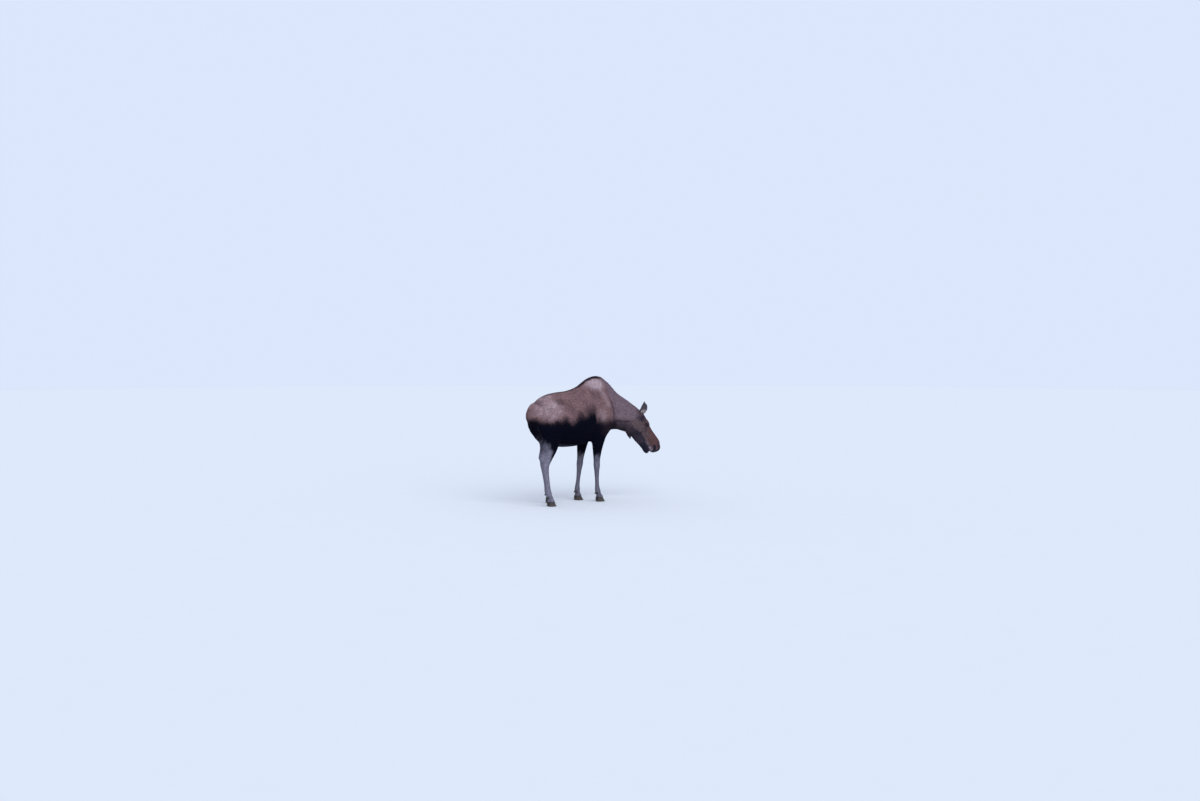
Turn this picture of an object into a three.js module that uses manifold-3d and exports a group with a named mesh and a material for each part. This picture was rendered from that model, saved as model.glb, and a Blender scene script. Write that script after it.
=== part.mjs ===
// A cow moose in her winter coat, life size, standing still with her head lowered and turned a
// little to her right. Millimetres: +X toward her chest, +Y to her left, +Z up. The body is one
// smooth form made of named masses, and is parted into head, neck, trunk and legs by thin cuts.
import * as THREE from 'three';
import { mergeVertices } from 'three/addons/utils/BufferGeometryUtils.js';
import Module from 'manifold-3d';

const wasm = await Module();
wasm.setup();

// ---- Driving sizes ----------------------------------------------------------------------------
const SHOULDER_HEIGHT = 1780;     // top of the hump, hair included
const BELLY_HEIGHT = 792;         // lowest line of the belly
const GAP = 0.4;                  // width of the cuts between the parts
const SHORTEST_EDGE = 0.5;        // cuts leave no edge shorter than this
const CORONET_HEIGHT = 70;        // where the hair ends and the hooves begin
const FOREARM_CUT = 745;          // heights at which a foreleg is parted, above and at its knee
const KNEE_CUT = 505;
const GASKIN_CUT = 752;           // heights at which a hind leg is parted, below its stifle and hock
const HOCK_CUT = 545;
const FORE_TRACK = 162;           // from the middle of the body to a forefoot
const HIND_TRACK = 156;           // from the middle of the body to a hind foot
const LEFT_FORE_BACK = 150;       // how far the left forefoot stands behind the right one
const LEFT_HIND_AHEAD = 215;      // how far the left hind foot stands ahead of the right one
const HEAD_PLACE = [660, -163, 1322];   // the poll, between the ears
const HEAD_DOWN = THREE.MathUtils.degToRad(62);
const HEAD_TURN = THREE.MathUtils.degToRad(-28);
const EYE_RADIUS = 21;
const EYE_PLACE = [287, 84, -19];       // in the head's own frame, left eye
const EAR_LENGTH = 216;
const EAR_HALF_WIDTH = 58;
const SIDES = [['right', -1], ['left', 1]];

// ---- Fields: a field is negative inside a form and grows by about a millimetre per millimetre --
const smoothUnion = (a, b, fillet) => {
  const near = Math.max(fillet - Math.abs(a - b), 0) / fillet;
  return Math.min(a, b) - near * near * fillet / 4;
};

const ramp = (from, to, value) => {
  const t = Math.min(1, Math.max(0, (value - from) / (to - from)));
  return t * t * (3 - 2 * t);
};

// The distance to an ellipsoid of half sizes (a, b, c), of a point (x, y, z) from its middle.
function ellipsoidDistance(x, y, z, a, b, c) {
  const reach = Math.hypot(x / a, y / b, z / c);
  const slope = Math.hypot(x / (a * a), y / (b * b), z / (c * c));
  return slope < 1e-9 ? -Math.min(a, b, c) : reach * (reach - 1) / slope;
}

const ellipsoid = (centre, halfSizes) => (p) => ellipsoidDistance(
  p[0] - centre[0], p[1] - centre[1], p[2] - centre[2], ...halfSizes);

// Rows of numbers joined by a smooth curve through all of them, each span cut into steps.
function smoothRows(rows, steps) {
  const made = [];
  for (let i = 0; i + 1 < rows.length; i += 1) {
    const before = rows[Math.max(i - 1, 0)];
    const after = rows[Math.min(i + 2, rows.length - 1)];
    for (let k = 0; k < steps; k += 1) {
      const t = k / steps;
      made.push(rows[i].map((a, n) => {
        const b = rows[i + 1][n];
        const leave = (b - before[n]) / 2;
        const arrive = (after[n] - a) / 2;
        return a + leave * t + (3 * (b - a) - 2 * leave - arrive) * t * t
          + (2 * (a - b) + leave + arrive) * t * t * t;
      }));
    }
  }
  made.push(rows[rows.length - 1]);
  return made;
}

// A bent form with an oval section. Each station is [x, y, z, half depth, half width, taper]: the
// depth lies in the upright plane, the width across it, and taper narrows the upper or front side.
// The sections stand square to the tube, or all upright across the X axis. Both ends of the tube are
// round. Where one span meets the next, its end is flatter by this share.
const INNER_ROUNDING = 0.45;
const SPAN_STEPS = 4;
function tube(stations, upright = false) {
  const rows = smoothRows(stations.map((s) => [s[0], s[1], s[2], s[3], s[4], s[5] ?? 0]), SPAN_STEPS);
  const spans = [];
  for (let i = 0; i + 1 < rows.length; i += 1) {
    const a = rows[i];
    const b = rows[i + 1];
    const course = new THREE.Vector3(b[0] - a[0], b[1] - a[1], b[2] - a[2]);
    const along = upright ? new THREE.Vector3(1, 0, 0) : course.clone().normalize();
    const length = course.dot(along);
    const side = new THREE.Vector3(0, 1, 0).addScaledVector(along, -along.y).normalize();
    const deep = new THREE.Vector3().crossVectors(along, side);
    const startRounding = i === 0 ? 1 : INNER_ROUNDING;
    const endRounding = i + 2 === rows.length ? 1 : INNER_ROUNDING;
    const climb = course.dot(deep);
    const drift = course.dot(side);
    spans.push({ a, b, along, side, deep, length, climb, drift, startRounding, endRounding });
  }
  return (p) => {
    let best = Infinity;
    for (const span of spans) {
      const { a, b, along, side, deep, length } = span;
      const x = p[0] - a[0];
      const y = p[1] - a[1];
      const z = p[2] - a[2];
      const run = x * along.x + y * along.y + z * along.z;
      const t = Math.min(1, Math.max(0, run / length));
      const halfDepth = a[3] + (b[3] - a[3]) * t;
      const up = x * deep.x + y * deep.y + z * deep.z - span.climb * t;
      const rise = Math.min(1, Math.max(-1, up / halfDepth));
      const halfWidth = (a[4] + (b[4] - a[4]) * t) * (1 - (a[5] + (b[5] - a[5]) * t) * rise);
      const across = x * side.x + y * side.y + z * side.z - span.drift * t;
      const end = Math.min(halfDepth, halfWidth) * (run < 0 ? span.startRounding : span.endRounding);
      best = Math.min(best, ellipsoidDistance(
        run - t * length, across, up, end, halfWidth, halfDepth));
    }
    return best;
  };
}

// ---- The masses of the body -------------------------------------------------------------------
const hump = SHOULDER_HEIGHT;
const belly = BELLY_HEIGHT;

// Stations of the trunk as [x, height of the back, height of the belly, half width, taper].
const TRUNK_OUTLINE = [
  [-1070, 1416, 1100, 140, 0.10],
  [-1000, 1486, 995, 184, 0.14],
  [-880, 1536, 905, 216, 0.16],
  [-720, 1562, belly + 16, 256, 0.16],
  [-520, 1582, belly, 280, 0.18],
  [-330, 1640, belly + 16, 274, 0.25],
  [-160, hump - 33, belly + 60, 248, 0.33],
  [-20, hump + 1, belly + 105, 222, 0.40],
  [90, hump - 17, belly + 146, 194, 0.38],
  [170, hump - 82, belly + 214, 160, 0.30],
];
const trunkMass = tube(TRUNK_OUTLINE.map(([x, back, under, halfWidth, taper]) => (
  [x, 0, (back + under) / 2, (back - under) / 2, halfWidth, taper])), true);

const neckMass = tube([
  [-40, 0, 1330, 320, 176, 0.2],
  [110, -12, 1320, 306, 166, 0.2],
  [250, -38, 1283, 258, 148, 0.16],
  [400, -78, 1220, 228, 132, 0.1],
  [530, -110, 1152, 202, 120, 0.06],
  [600, -128, 1108, 184, 108, 0],
]);

// Down a foreleg: shoulder blade, elbow, forearm, knee, cannon, fetlock, pastern and coronet.
// Each row is [x, distance from the middle plane, z, half depth, half width].
const FORELEG = [
  [-60, 118, 1440, 110, 60],
  [0, 144, 1290, 148, 80],
  [6, 158, 1140, 154, 86],
  [-70, 168, 1000, 138, 80],
  [-96, 170, 880, 106, 72],
  [-110, 168, 750, 75, 58],
  [-118, 166, 610, 51, 46],
  [-118, 165, 505, 45, 44],
  [-117, 164, 430, 36, 35],
  [-112, FORE_TRACK, 300, 29, 28],
  [-108, FORE_TRACK, 215, 32, 31],
  [-100, FORE_TRACK, 162, 39, 38],
  [-82, FORE_TRACK, 108, 35, 39],
  [-64, FORE_TRACK, 66, 47, 52],
  [-58, FORE_TRACK, 30, 48, 52],
];

// Down a hind leg: hip, thigh, stifle, gaskin, hock, cannon, fetlock, pastern and coronet.
const HINDLEG = [
  [-930, 96, 1290, 165, 94],
  [-950, 124, 1160, 176, 98],
  [-935, 144, 1045, 164, 94],
  [-918, 154, 930, 138, 84],
  [-945, 160, 805, 112, 70],
  [-988, 158, 695, 88, 55],
  [-1022, HIND_TRACK, 605, 71, 48],
  [-1028, HIND_TRACK, 535, 56, 43],
  [-1012, HIND_TRACK, 430, 43, 36],
  [-992, HIND_TRACK, 310, 37, 33],
  [-978, HIND_TRACK, 225, 38, 35],
  [-968, HIND_TRACK, 170, 44, 41],
  [-950, HIND_TRACK, 112, 37, 40],
  [-930, HIND_TRACK, 68, 48, 53],
  [-924, HIND_TRACK, 30, 48, 53],
];
const HOCK_POINT = [-1084, HIND_TRACK, 645];
const TENDON_TOP = [-1020, 158, 830];

// The stance: how far a leg is carried fore or aft at a height, down to its foot.
const foreStance = (side, z) => (side > 0 ? -LEFT_FORE_BACK * Math.max(0, 1 - z / 1000) ** 1.7 : 0);
const hindStance = (side, z) => (side > 0 ? LEFT_HIND_AHEAD * ramp(1250, 720, z) : 0);

const legStations = (rows, stance, side) => rows.map(([x, y, z, depth, width]) => (
  [x + stance(side, z), side * y, z, depth, width]));

function hindLegMass(side) {
  const leg = tube(legStations(HINDLEG, hindStance, side));
  const tendon = tube(legStations([[...TENDON_TOP, 22, 20], [...HOCK_POINT, 32, 24]], hindStance, side));
  return (p) => smoothUnion(leg(p), tendon(p), 50);
}

// ---- The head, in its own frame: +X from the poll to the nose, +Z out of the forehead ---------
// Stations of skull and muzzle as [x, height of the face, height of the underside, half width, taper].
const FACE_OUTLINE = [
  [10, -30, -245, 84, 0.10],
  [90, 14, -262, 92, 0.04],
  [175, 34, -250, 94, 0.06],
  [285, 30, -208, 84, 0.12],
  [400, 31, -158, 69, 0.08],
  [500, 44, -140, 67, -0.02],
  [590, 52, -140, 76, -0.08],
  [640, 34, -136, 76, -0.10],
];
const faceMass = tube(FACE_OUTLINE.map(([x, face, under, halfWidth, taper]) => (
  [x, 0, (face + under) / 2, (face - under) / 2, halfWidth, taper])), true);
const lipMass = tube([
  [300, 0, -150, 66, 66],
  [420, 0, -142, 56, 57],
  [520, 0, -128, 50, 59],
  [600, 0, -110, 48, 66],
  [648, 0, -92, 44, 64],
]);
const jawMass = tube([
  [150, 0, -232, 76, 62],
  [270, 0, -230, 66, 57],
  [400, 0, -214, 60, 50],
  [500, 0, -196, 48, 45],
  [590, 0, -180, 40, 46],
]);
const HEAD_MASSES = [
  [faceMass, 1],
  [lipMass, 30],
  [jawMass, 60],
  [ellipsoid([612, 0, -188], [54, 49, 36]), 26],
  ...SIDES.flatMap(([, side]) => [
    [ellipsoid([222, side * 50, -160], [112, 42, 88]), 60],
    [ellipsoid([258, side * 66, 0], [66, 27, 28]), 34],
    [ellipsoid([294, side * 66, -44], [58, 27, 28]), 34],
    [ellipsoid([634, side * 48, -58], [48, 36, 50]), 36],
    [ellipsoid([112, side * 66, -16], [42, 32, 38]), 40],
  ]),
];

function headField(p) {
  let found = Infinity;
  for (const [mass, fillet] of HEAD_MASSES) {
    found = found === Infinity ? mass(p) : smoothUnion(found, mass(p), fillet);
  }
  return found;
}

const headFrame = new THREE.Matrix4().makeRotationFromEuler(new THREE.Euler(0, HEAD_DOWN, HEAD_TURN, 'ZYX'))
  .setPosition(...HEAD_PLACE);
const fromHeadFrame = headFrame.clone().invert();

function carried(p, frame) {
  const e = frame.elements;
  return [0, 1, 2].map((k) => e[k] * p[0] + e[k + 4] * p[1] + e[k + 8] * p[2] + e[k + 12]);
}

// ---- The whole body ---------------------------------------------------------------------------
const legMasses = SIDES.flatMap(([, side]) => [
  tube(legStations(FORELEG, foreStance, side)),
  hindLegMass(side),
]);

function bodyField(p) {
  const torso = smoothUnion(
    smoothUnion(trunkMass(p), neckMass(p), 110), headField(carried(p, fromHeadFrame)), 60);
  return Math.min(...legMasses.map((leg) => smoothUnion(torso, leg(p), 70)));
}

const bodyInHeadFrame = (p) => bodyField(carried(p, headFrame));

// ---- From a field to a closed mesh ------------------------------------------------------------
// Moves a point to where the field is zero, by a few steps along its slope.
function settle(p, field, most) {
  const probe = 0.5;
  let at = p;
  for (let round = 0; round < 4; round += 1) {
    const value = field(at);
    const slope = [0, 1, 2].map((k) => {
      const ahead = [...at];
      ahead[k] += probe;
      return (field(ahead) - value) / probe;
    });
    const steep = Math.max(slope[0] ** 2 + slope[1] ** 2 + slope[2] ** 2, 0.1);
    at = at.map((c, k) => c - value * slope[k] / steep);
  }
  const moved = at.map((c, k) => c - p[k]);
  const far = Math.hypot(...moved);
  return p.map((c, k) => c + moved[k] * Math.min(1, most / Math.max(far, 1e-6)));
}

// Walks a grid of boxes from low to high and puts one vertex in each box that the surface crosses
// (surface nets), joins them by quads, and settles them on the surface.
function fieldGeometry(field, low, high, step) {
  const count = low.map((from, k) => Math.ceil((high[k] - from) / step[k]) + 1);
  const size = low.map((from, k) => (high[k] - from) / (count[k] - 1));
  const key = (i, j, k) => i + count[0] * (j + count[1] * k);
  const place = (i, j, k) => [low[0] + i * size[0], low[1] + j * size[1], low[2] + k * size[2]];
  const edge = (n, axis) => n === 0 || n === count[axis] - 1;
  const values = new Float64Array(count[0] * count[1] * count[2]);
  for (let k = 0; k < count[2]; k += 1) {
    for (let j = 0; j < count[1]; j += 1) {
      for (let i = 0; i < count[0]; i += 1) {
        const value = field(place(i, j, k));
        values[key(i, j, k)] = edge(i, 0) || edge(j, 1) || edge(k, 2) ? Math.max(value, 1) : value;
      }
    }
  }
  const corners = [0, 1, 2, 3, 4, 5, 6, 7].map((n) => [n & 1, (n >> 1) & 1, n >> 2]);
  const boxEdges = corners.flatMap((a, n) => corners.slice(n + 1)
    .filter((b) => Math.abs(a[0] - b[0]) + Math.abs(a[1] - b[1]) + Math.abs(a[2] - b[2]) === 1)
    .map((b) => [a, b]));
  const vertexOf = new Map();
  const positions = [];
  for (let k = 0; k + 1 < count[2]; k += 1) {
    for (let j = 0; j + 1 < count[1]; j += 1) {
      for (let i = 0; i + 1 < count[0]; i += 1) {
        const sum = [0, 0, 0];
        let crossings = 0;
        for (const [a, b] of boxEdges) {
          const va = values[key(i + a[0], j + a[1], k + a[2])];
          const vb = values[key(i + b[0], j + b[1], k + b[2])];
          if ((va < 0) !== (vb < 0)) {
            const t = va / (va - vb);
            [i, j, k].forEach((base, n) => {
              sum[n] += low[n] + (base + a[n] + (b[n] - a[n]) * t) * size[n];
            });
            crossings += 1;
          }
        }
        if (crossings > 0) {
          vertexOf.set(key(i, j, k), positions.length / 3);
          const start = sum.map((s) => s / crossings);
          positions.push(...settle(start, field, Math.min(...size) * 0.45));
        }
      }
    }
  }
  const index = [];
  const apart = (a, b) => Math.hypot(...[0, 1, 2].map((n) => positions[a * 3 + n] - positions[b * 3 + n]));
  const quad = (a, b, c, d) => {
    if (apart(a, c) <= apart(b, d)) index.push(a, b, c, a, c, d);
    else index.push(a, b, d, b, c, d);
  };
  const joinAcross = (node, axis) => {
    const [u, v] = [(axis + 1) % 3, (axis + 2) % 3];
    const next = [...node];
    next[axis] += 1;
    const here = values[key(...node)] < 0;
    if (node[u] === 0 || node[v] === 0 || here === values[key(...next)] < 0) return;
    const around = [[1, 1], [0, 1], [0, 0], [1, 0]].map(([back, under]) => {
      const box = [...node];
      box[u] -= back;
      box[v] -= under;
      return vertexOf.get(key(...box));
    });
    quad(...(here ? around : around.reverse()));
  };
  for (let k = 0; k + 1 < count[2]; k += 1) {
    for (let j = 0; j + 1 < count[1]; j += 1) {
      for (let i = 0; i + 1 < count[0]; i += 1) {
        [0, 1, 2].forEach((axis) => joinAcross([i, j, k], axis));
      }
    }
  }
  const made = new THREE.BufferGeometry();
  made.setAttribute('position', new THREE.Float32BufferAttribute(positions, 3));
  made.setIndex(index);
  return made;
}

// ---- Joins and cuts ---------------------------------------------------------------------------
function solid(geometry) {
  const bare = geometry.clone();
  bare.deleteAttribute('normal');
  bare.deleteAttribute('uv');
  const merged = mergeVertices(bare);
  return new wasm.Manifold(new wasm.Mesh({
    numProp: 3,
    vertProperties: new Float32Array(merged.attributes.position.array),
    triVerts: new Uint32Array(merged.index.array),
  }));
}

// A solid's mesh without its shortest edges: the vertices that they link become one, and the faces
// that this flattens are left out.
function geometryOf(manifold) {
  const { vertProperties, triVerts } = manifold.getMesh();
  const point = (n) => new THREE.Vector3().fromArray(vertProperties, n * 3);
  const joined = Array.from({ length: vertProperties.length / 3 }, (_, n) => n);
  const first = (n) => (joined[n] === n ? n : first(joined[n]));
  const faces = [];
  for (let n = 0; n < triVerts.length; n += 3) faces.push([...triVerts.slice(n, n + 3)]);
  for (const [a, b, c] of faces) {
    for (const [from, to] of [[a, b], [b, c], [c, a]]) {
      if (point(first(from)).distanceTo(point(first(to))) < SHORTEST_EDGE) joined[first(to)] = first(from);
    }
  }
  const kept = new Map();
  for (const face of faces.map((corners) => corners.map(first))) {
    if (new Set(face).size === 3) {
      const name = [...face].sort((a, b) => a - b).join();
      if (kept.has(name)) kept.delete(name);
      else kept.set(name, face);
    }
  }
  const made = new THREE.BufferGeometry();
  made.setAttribute('position', new THREE.Float32BufferAttribute(vertProperties, 3));
  made.setIndex([...kept.values()].flat());
  return made;
}

// A cut is a point and a direction. What lies ahead of it, along the direction, is kept.
const keep = (manifold, [point, direction]) => {
  const normal = new THREE.Vector3(...direction).normalize();
  return manifold.trimByPlane(normal.toArray(), normal.dot(new THREE.Vector3(...point)) + GAP / 2);
};
const turned = ([point, direction]) => [point, direction.map((d) => -d)];

// The large block on the near side of several cuts.
function blockBehind(cuts) {
  const block = solid(new THREE.BoxGeometry(6000, 6000, 6000));
  return cuts.reduce((left, cut) => {
    const normal = new THREE.Vector3(...cut[1]).normalize();
    return left.trimByPlane(normal.toArray(), normal.dot(new THREE.Vector3(...cut[0])) - GAP / 2);
  }, block);
}

// ---- Where the body is parted -----------------------------------------------------------------
const NECK_CUT = [[160, 0, 1300], [1, -0.12, -0.12]];
const HEAD_CUT_LOCAL = [[120, 0, -140], [1, 0, 0.42]];    // in the head's own frame
const ELBOW_CUT = (side) => [[-100, side * 150, 975], [-0.08, side, -1]];
const ARMPIT_CUT = () => [[-262, 0, 900], [1, 0, 0]];
const THIGH_CUT = (side) => [[-960, side * 95, 1095], [-0.30, side * 0.62, -1]];
const FLANK_CUT = (side) => [[-690 + (side > 0 ? 90 : 0), 0, 930], [-1, 0, -0.35]];
const MIDDLE_CUT = (side) => [[0, 0, 0], [0, side, 0]];
const level = (height, direction) => [[0, 0, height], [0, 0, direction]];

function placedCut([point, direction], frame) {
  const at = carried(point, frame);
  const tip = carried(point.map((c, k) => c + direction[k]), frame);
  return [at, tip.map((c, k) => c - at[k])];
}
const HEAD_CUT = placedCut(HEAD_CUT_LOCAL, headFrame);

// The boxes in which each part is meshed, and the size of the grid in it.
const TRUNK_GRID = [[-1290, -357, 700], [380, 357, 1880], [86, 68, 78]];
const NECK_GRID = [[60, -330, 860], [860, 210, 1820], [68, 58, 66]];
const HEAD_GRID = [[-60, -165, -330], [740, 165, 110], [32, 23.6, 27.5]];
const THIGH_GRID = (side) => [
  [-1240, side > 0 ? -60 : -330, 690], [-540, side > 0 ? 330 : 60, 1370], [58, 52, 62]];
const SHOULDER_GRID = (side) => [
  [-320, side > 0 ? -40 : -320, 660], [240, side > 0 ? 320 : 40, 1180], [50, 46, 58]];

// The legs below the body are rings of points: the heights of the rings, from the joint down.
const LEG_SIDES = 12;
const FOREARM_RINGS = [680, 620, 560];
const FORE_CANNON_RINGS = [460, 415, 320, 235, 195, 160, 128, 95];
const GASKIN_RINGS = [715, 680, 652, 625, 595];
const HIND_CANNON_RINGS = [500, 450, 380, 300, 235, 200, 168, 134, 98];

const materials = {
  upperCoat: new THREE.MeshStandardMaterial({ color: 0x8a735f, roughness: 0.9, metalness: 0 }),
  neckCoat: new THREE.MeshStandardMaterial({ color: 0x77614f, roughness: 0.9, metalness: 0 }),
  face: new THREE.MeshStandardMaterial({ color: 0x6b4a3a, roughness: 0.85, metalness: 0 }),
  ear: new THREE.MeshStandardMaterial({ color: 0x75655a, roughness: 0.9, metalness: 0 }),
  darkCoat: new THREE.MeshStandardMaterial({ color: 0x17120f, roughness: 0.9, metalness: 0 }),
  legCoat: new THREE.MeshStandardMaterial({ color: 0x7d746b, roughness: 0.9, metalness: 0 }),
  hoof: new THREE.MeshStandardMaterial({ color: 0x2a2521, roughness: 0.55, metalness: 0 }),
  eye: new THREE.MeshStandardMaterial({ color: 0x120c08, roughness: 0.08, metalness: 0 }),
};

const moose = new THREE.Group();
const head = new THREE.Group();
head.position.set(...HEAD_PLACE);
head.rotation.set(0, HEAD_DOWN, HEAD_TURN, 'ZYX');
moose.add(head);

function addPart(name, geometry, material, parent = moose) {
  const mesh = new THREE.Mesh(geometry, material);
  mesh.name = name;
  parent.add(mesh);
  return mesh;
}

// Rings with equal numbers of points, joined one to the next and closed by a flat fan at each end.
function loft(rings) {
  const around = rings[0].length;
  const positions = rings.flat(2);
  const index = [];
  for (let ring = 0; ring + 1 < rings.length; ring += 1) {
    for (let n = 0; n < around; n += 1) {
      const a = ring * around + n;
      const b = ring * around + (n + 1) % around;
      index.push(a, b, b + around, a, b + around, a + around);
    }
  }
  const last = (rings.length - 1) * around;
  for (let n = 1; n + 1 < around; n += 1) {
    index.push(0, n + 1, n, last, last + n, last + n + 1);
  }
  const made = new THREE.BufferGeometry();
  made.setAttribute('position', new THREE.Float32BufferAttribute(positions, 3));
  made.setIndex(index);
  return made;
}

// What is left of a piece beside its host, with the gap between them along the given direction.
function seated(piece, host, direction) {
  const away = new THREE.Vector3(...direction).normalize().multiplyScalar(GAP);
  return piece.subtract(host.translate(away.toArray()));
}

// ---- Trunk and neck ---------------------------------------------------------------------------
const elbowCuts = (side) => [ELBOW_CUT(side), ARMPIT_CUT(side), MIDDLE_CUT(side)];
const thighCuts = (side) => [THIGH_CUT(side), FLANK_CUT(side), MIDDLE_CUT(side)];

function trunkSolid() {
  const limbs = SIDES.flatMap(([, side]) => [blockBehind(elbowCuts(side)), blockBehind(thighCuts(side))]);
  const whole = solid(fieldGeometry(bodyField, ...TRUNK_GRID));
  return limbs.reduce((left, block) => left.subtract(block), keep(whole, turned(NECK_CUT)));
}

function neckSolid() {
  const whole = solid(fieldGeometry(bodyField, ...NECK_GRID));
  return keep(keep(whole, NECK_CUT), turned(HEAD_CUT));
}

const trunk = trunkSolid();
const neck = neckSolid();
addPart('trunk', geometryOf(trunk), materials.upperCoat);
addPart('neck', geometryOf(neck), materials.neckCoat);

// Down the tail: [height, distance of its middle behind the rump, half depth, half width].
const TAIL = [
  [1412, -12, 16, 24],
  [1385, -4, 21, 28],
  [1345, 1, 20, 26],
  [1305, 1, 16, 19],
  [1272, -2, 6, 8],
];
const BELL = [
  [505, -118, 985, 44, 22],
  [524, -122, 938, 38, 19],
  [541, -127, 896, 25, 13],
  [552, -131, 862, 12, 8],
  [556, -133, 842, 4, 3],
];
const oval = (around, place) => Array.from({ length: around }, (_, n) => place(2 * Math.PI * n / around));
const hangingRings = (rows) => rows.map(([x, y, z, depth, width]) => (
  oval(8, (turn) => [x + depth * Math.cos(turn), y - width * Math.sin(turn), z])));

// How far from a point the body's surface lies along a level direction, walking out from within.
function reachOf(x, y, z, turn) {
  let out = 0;
  for (let round = 0; round < 40; round += 1) {
    out -= 0.7 * bodyField([x + out * Math.cos(turn), y + out * Math.sin(turn), z]);
  }
  return out;
}

const tailRows = TAIL.map(([z, behind, depth, width]) => (
  [-900 - reachOf(-900, 0, z, Math.PI) - behind, 0, z, depth, width]));
const tail = seated(solid(loft(hangingRings(tailRows))), trunk, [-1, 0, -0.3]);
addPart('tail', geometryOf(tail), materials.neckCoat);

// ---- Legs and feet ----------------------------------------------------------------------------
// The middle of a leg at a height, from its smoothed stations.
function middleAt(stations, z) {
  const rows = smoothRows(stations, 4);
  const n = rows.findIndex((row, i) => i + 1 < rows.length && row[2] >= z && rows[i + 1][2] <= z);
  const t = (rows[n][2] - z) / (rows[n][2] - rows[n + 1][2]);
  return [0, 1].map((k) => rows[n][k] + (rows[n + 1][k] - rows[n][k]) * t);
}

// A level ring on the body's surface around a leg, found by walking out from its middle.
function ringAt(stations, z) {
  const [x, y] = middleAt(stations, z);
  return oval(LEG_SIDES, (turn) => {
    const out = reachOf(x, y, z, turn);
    return [x + out * Math.cos(turn), y + out * Math.sin(turn), z];
  });
}

// One toe of a foot, flat below, its point ahead: rings from the sole up to the coronet.
// Each is [height, heel, tip, half width] with the heel and the tip measured from the coronet's middle.
const HOOF_RINGS = [
  [0, -46, 74, 28],
  [34, -49, 52, 29],
  [CORONET_HEIGHT - GAP / 2, -43, 33, 25],
];
const HOOF_SPREAD = 27.5;
const HOOF_SPLAY = 0.07;
const DEWCLAW_HEIGHT = 132;
function hoofGeometry(side) {
  return loft(HOOF_RINGS.map(([z, heel, tip, halfWidth]) => oval(12, (turn) => {
    const ahead = Math.cos(turn);
    const inner = Math.sin(turn) * side < 0 ? 0.86 : 1;
    const point = 1 - 0.38 * Math.max(0, ahead) ** 2;
    return [(heel + tip) / 2 + ahead * (tip - heel) / 2, Math.sin(turn) * halfWidth * inner * point, z];
  })));
}

const DEWCLAW_RINGS = [[0, 13], [22, 12], [37, 4]];
function dewclawSolid(x, y, z, side) {
  const cone = loft(DEWCLAW_RINGS.map(([down, radius]) => (
    oval(6, (turn) => [radius * Math.cos(turn), -radius * Math.sin(turn), -down]))));
  const tilt = new THREE.Matrix4().makeRotationFromEuler(new THREE.Euler(side * -0.25, 0.95, 0, 'ZYX'));
  return solid(cone.applyMatrix4(tilt.setPosition(x, y, z)));
}

// The length of a leg between two heights.
function legLength(stations, top, ringHeights, bottom) {
  const heights = [top - GAP / 2, ...ringHeights, bottom + GAP / 2];
  return solid(loft(heights.map((z) => ringAt(stations, z)).reverse()));
}

function addFoot(name, stations, cannon) {
  const [footX, footY] = middleAt(stations, CORONET_HEIGHT);
  const [heelX, heelY] = middleAt(stations, DEWCLAW_HEIGHT);
  for (const [toeSide, toe] of SIDES) {
    const hoof = addPart(`${name}_hoof_${toeSide}`, hoofGeometry(toe), materials.hoof);
    hoof.position.set(footX, footY + toe * HOOF_SPREAD, 0);
    hoof.rotation.z = toe * HOOF_SPLAY;
    const claw = dewclawSolid(heelX - 24, heelY + toe * 21, DEWCLAW_HEIGHT, toe);
    addPart(`${name}_dewclaw_${toeSide}`, geometryOf(seated(claw, cannon, [-1, 0, 0])), materials.hoof);
  }
}

function addLeg(name, side, leg) {
  const stations = legStations(leg.rows, leg.stance, side);
  const whole = solid(fieldGeometry(bodyField, ...leg.grid(side)));
  const upper = leg.cuts(side).reduce(keep, keep(whole, level(leg.top, 1)));
  addPart(`${name}_${leg.names[0]}`, geometryOf(upper), materials.darkCoat);
  const middle = legLength(stations, leg.top, leg.middleRings, leg.joint);
  addPart(`${name}_${leg.names[1]}`, geometryOf(middle), materials.darkCoat);
  const cannon = legLength(stations, leg.joint, leg.cannonRings, CORONET_HEIGHT);
  addPart(`${name}_${leg.names[2]}`, geometryOf(cannon), materials.legCoat);
  addFoot(name, stations, cannon);
}

for (const [sideName, side] of SIDES) {
  addLeg(`foreleg_${sideName}`, side, {
    names: ['upper', 'forearm', 'cannon'],
    rows: FORELEG,
    stance: foreStance,
    cuts: elbowCuts,
    grid: SHOULDER_GRID,
    top: FOREARM_CUT,
    joint: KNEE_CUT,
    middleRings: FOREARM_RINGS,
    cannonRings: FORE_CANNON_RINGS,
  });
  addLeg(`hindleg_${sideName}`, side, {
    names: ['thigh', 'gaskin', 'cannon'],
    rows: HINDLEG,
    stance: hindStance,
    cuts: thighCuts,
    grid: THIGH_GRID,
    top: GASKIN_CUT,
    joint: HOCK_CUT,
    middleRings: GASKIN_RINGS,
    cannonRings: HIND_CANNON_RINGS,
  });
}

// ---- Head, eyes and ears, in the head's own frame -----------------------------------------------
// Where each ear stands and points: the right one is laid back and out, the left one is pricked.
const EARS = {
  right: { root: [104, -58, -8], along: [-0.66, -0.52, 0.42], mouth: [0.35, -0.9, 0.3] },
  left: { root: [104, 58, -8], along: [-0.2, 0.5, 0.8], mouth: [0.8, 0.6, 0.2] },
};
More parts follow.
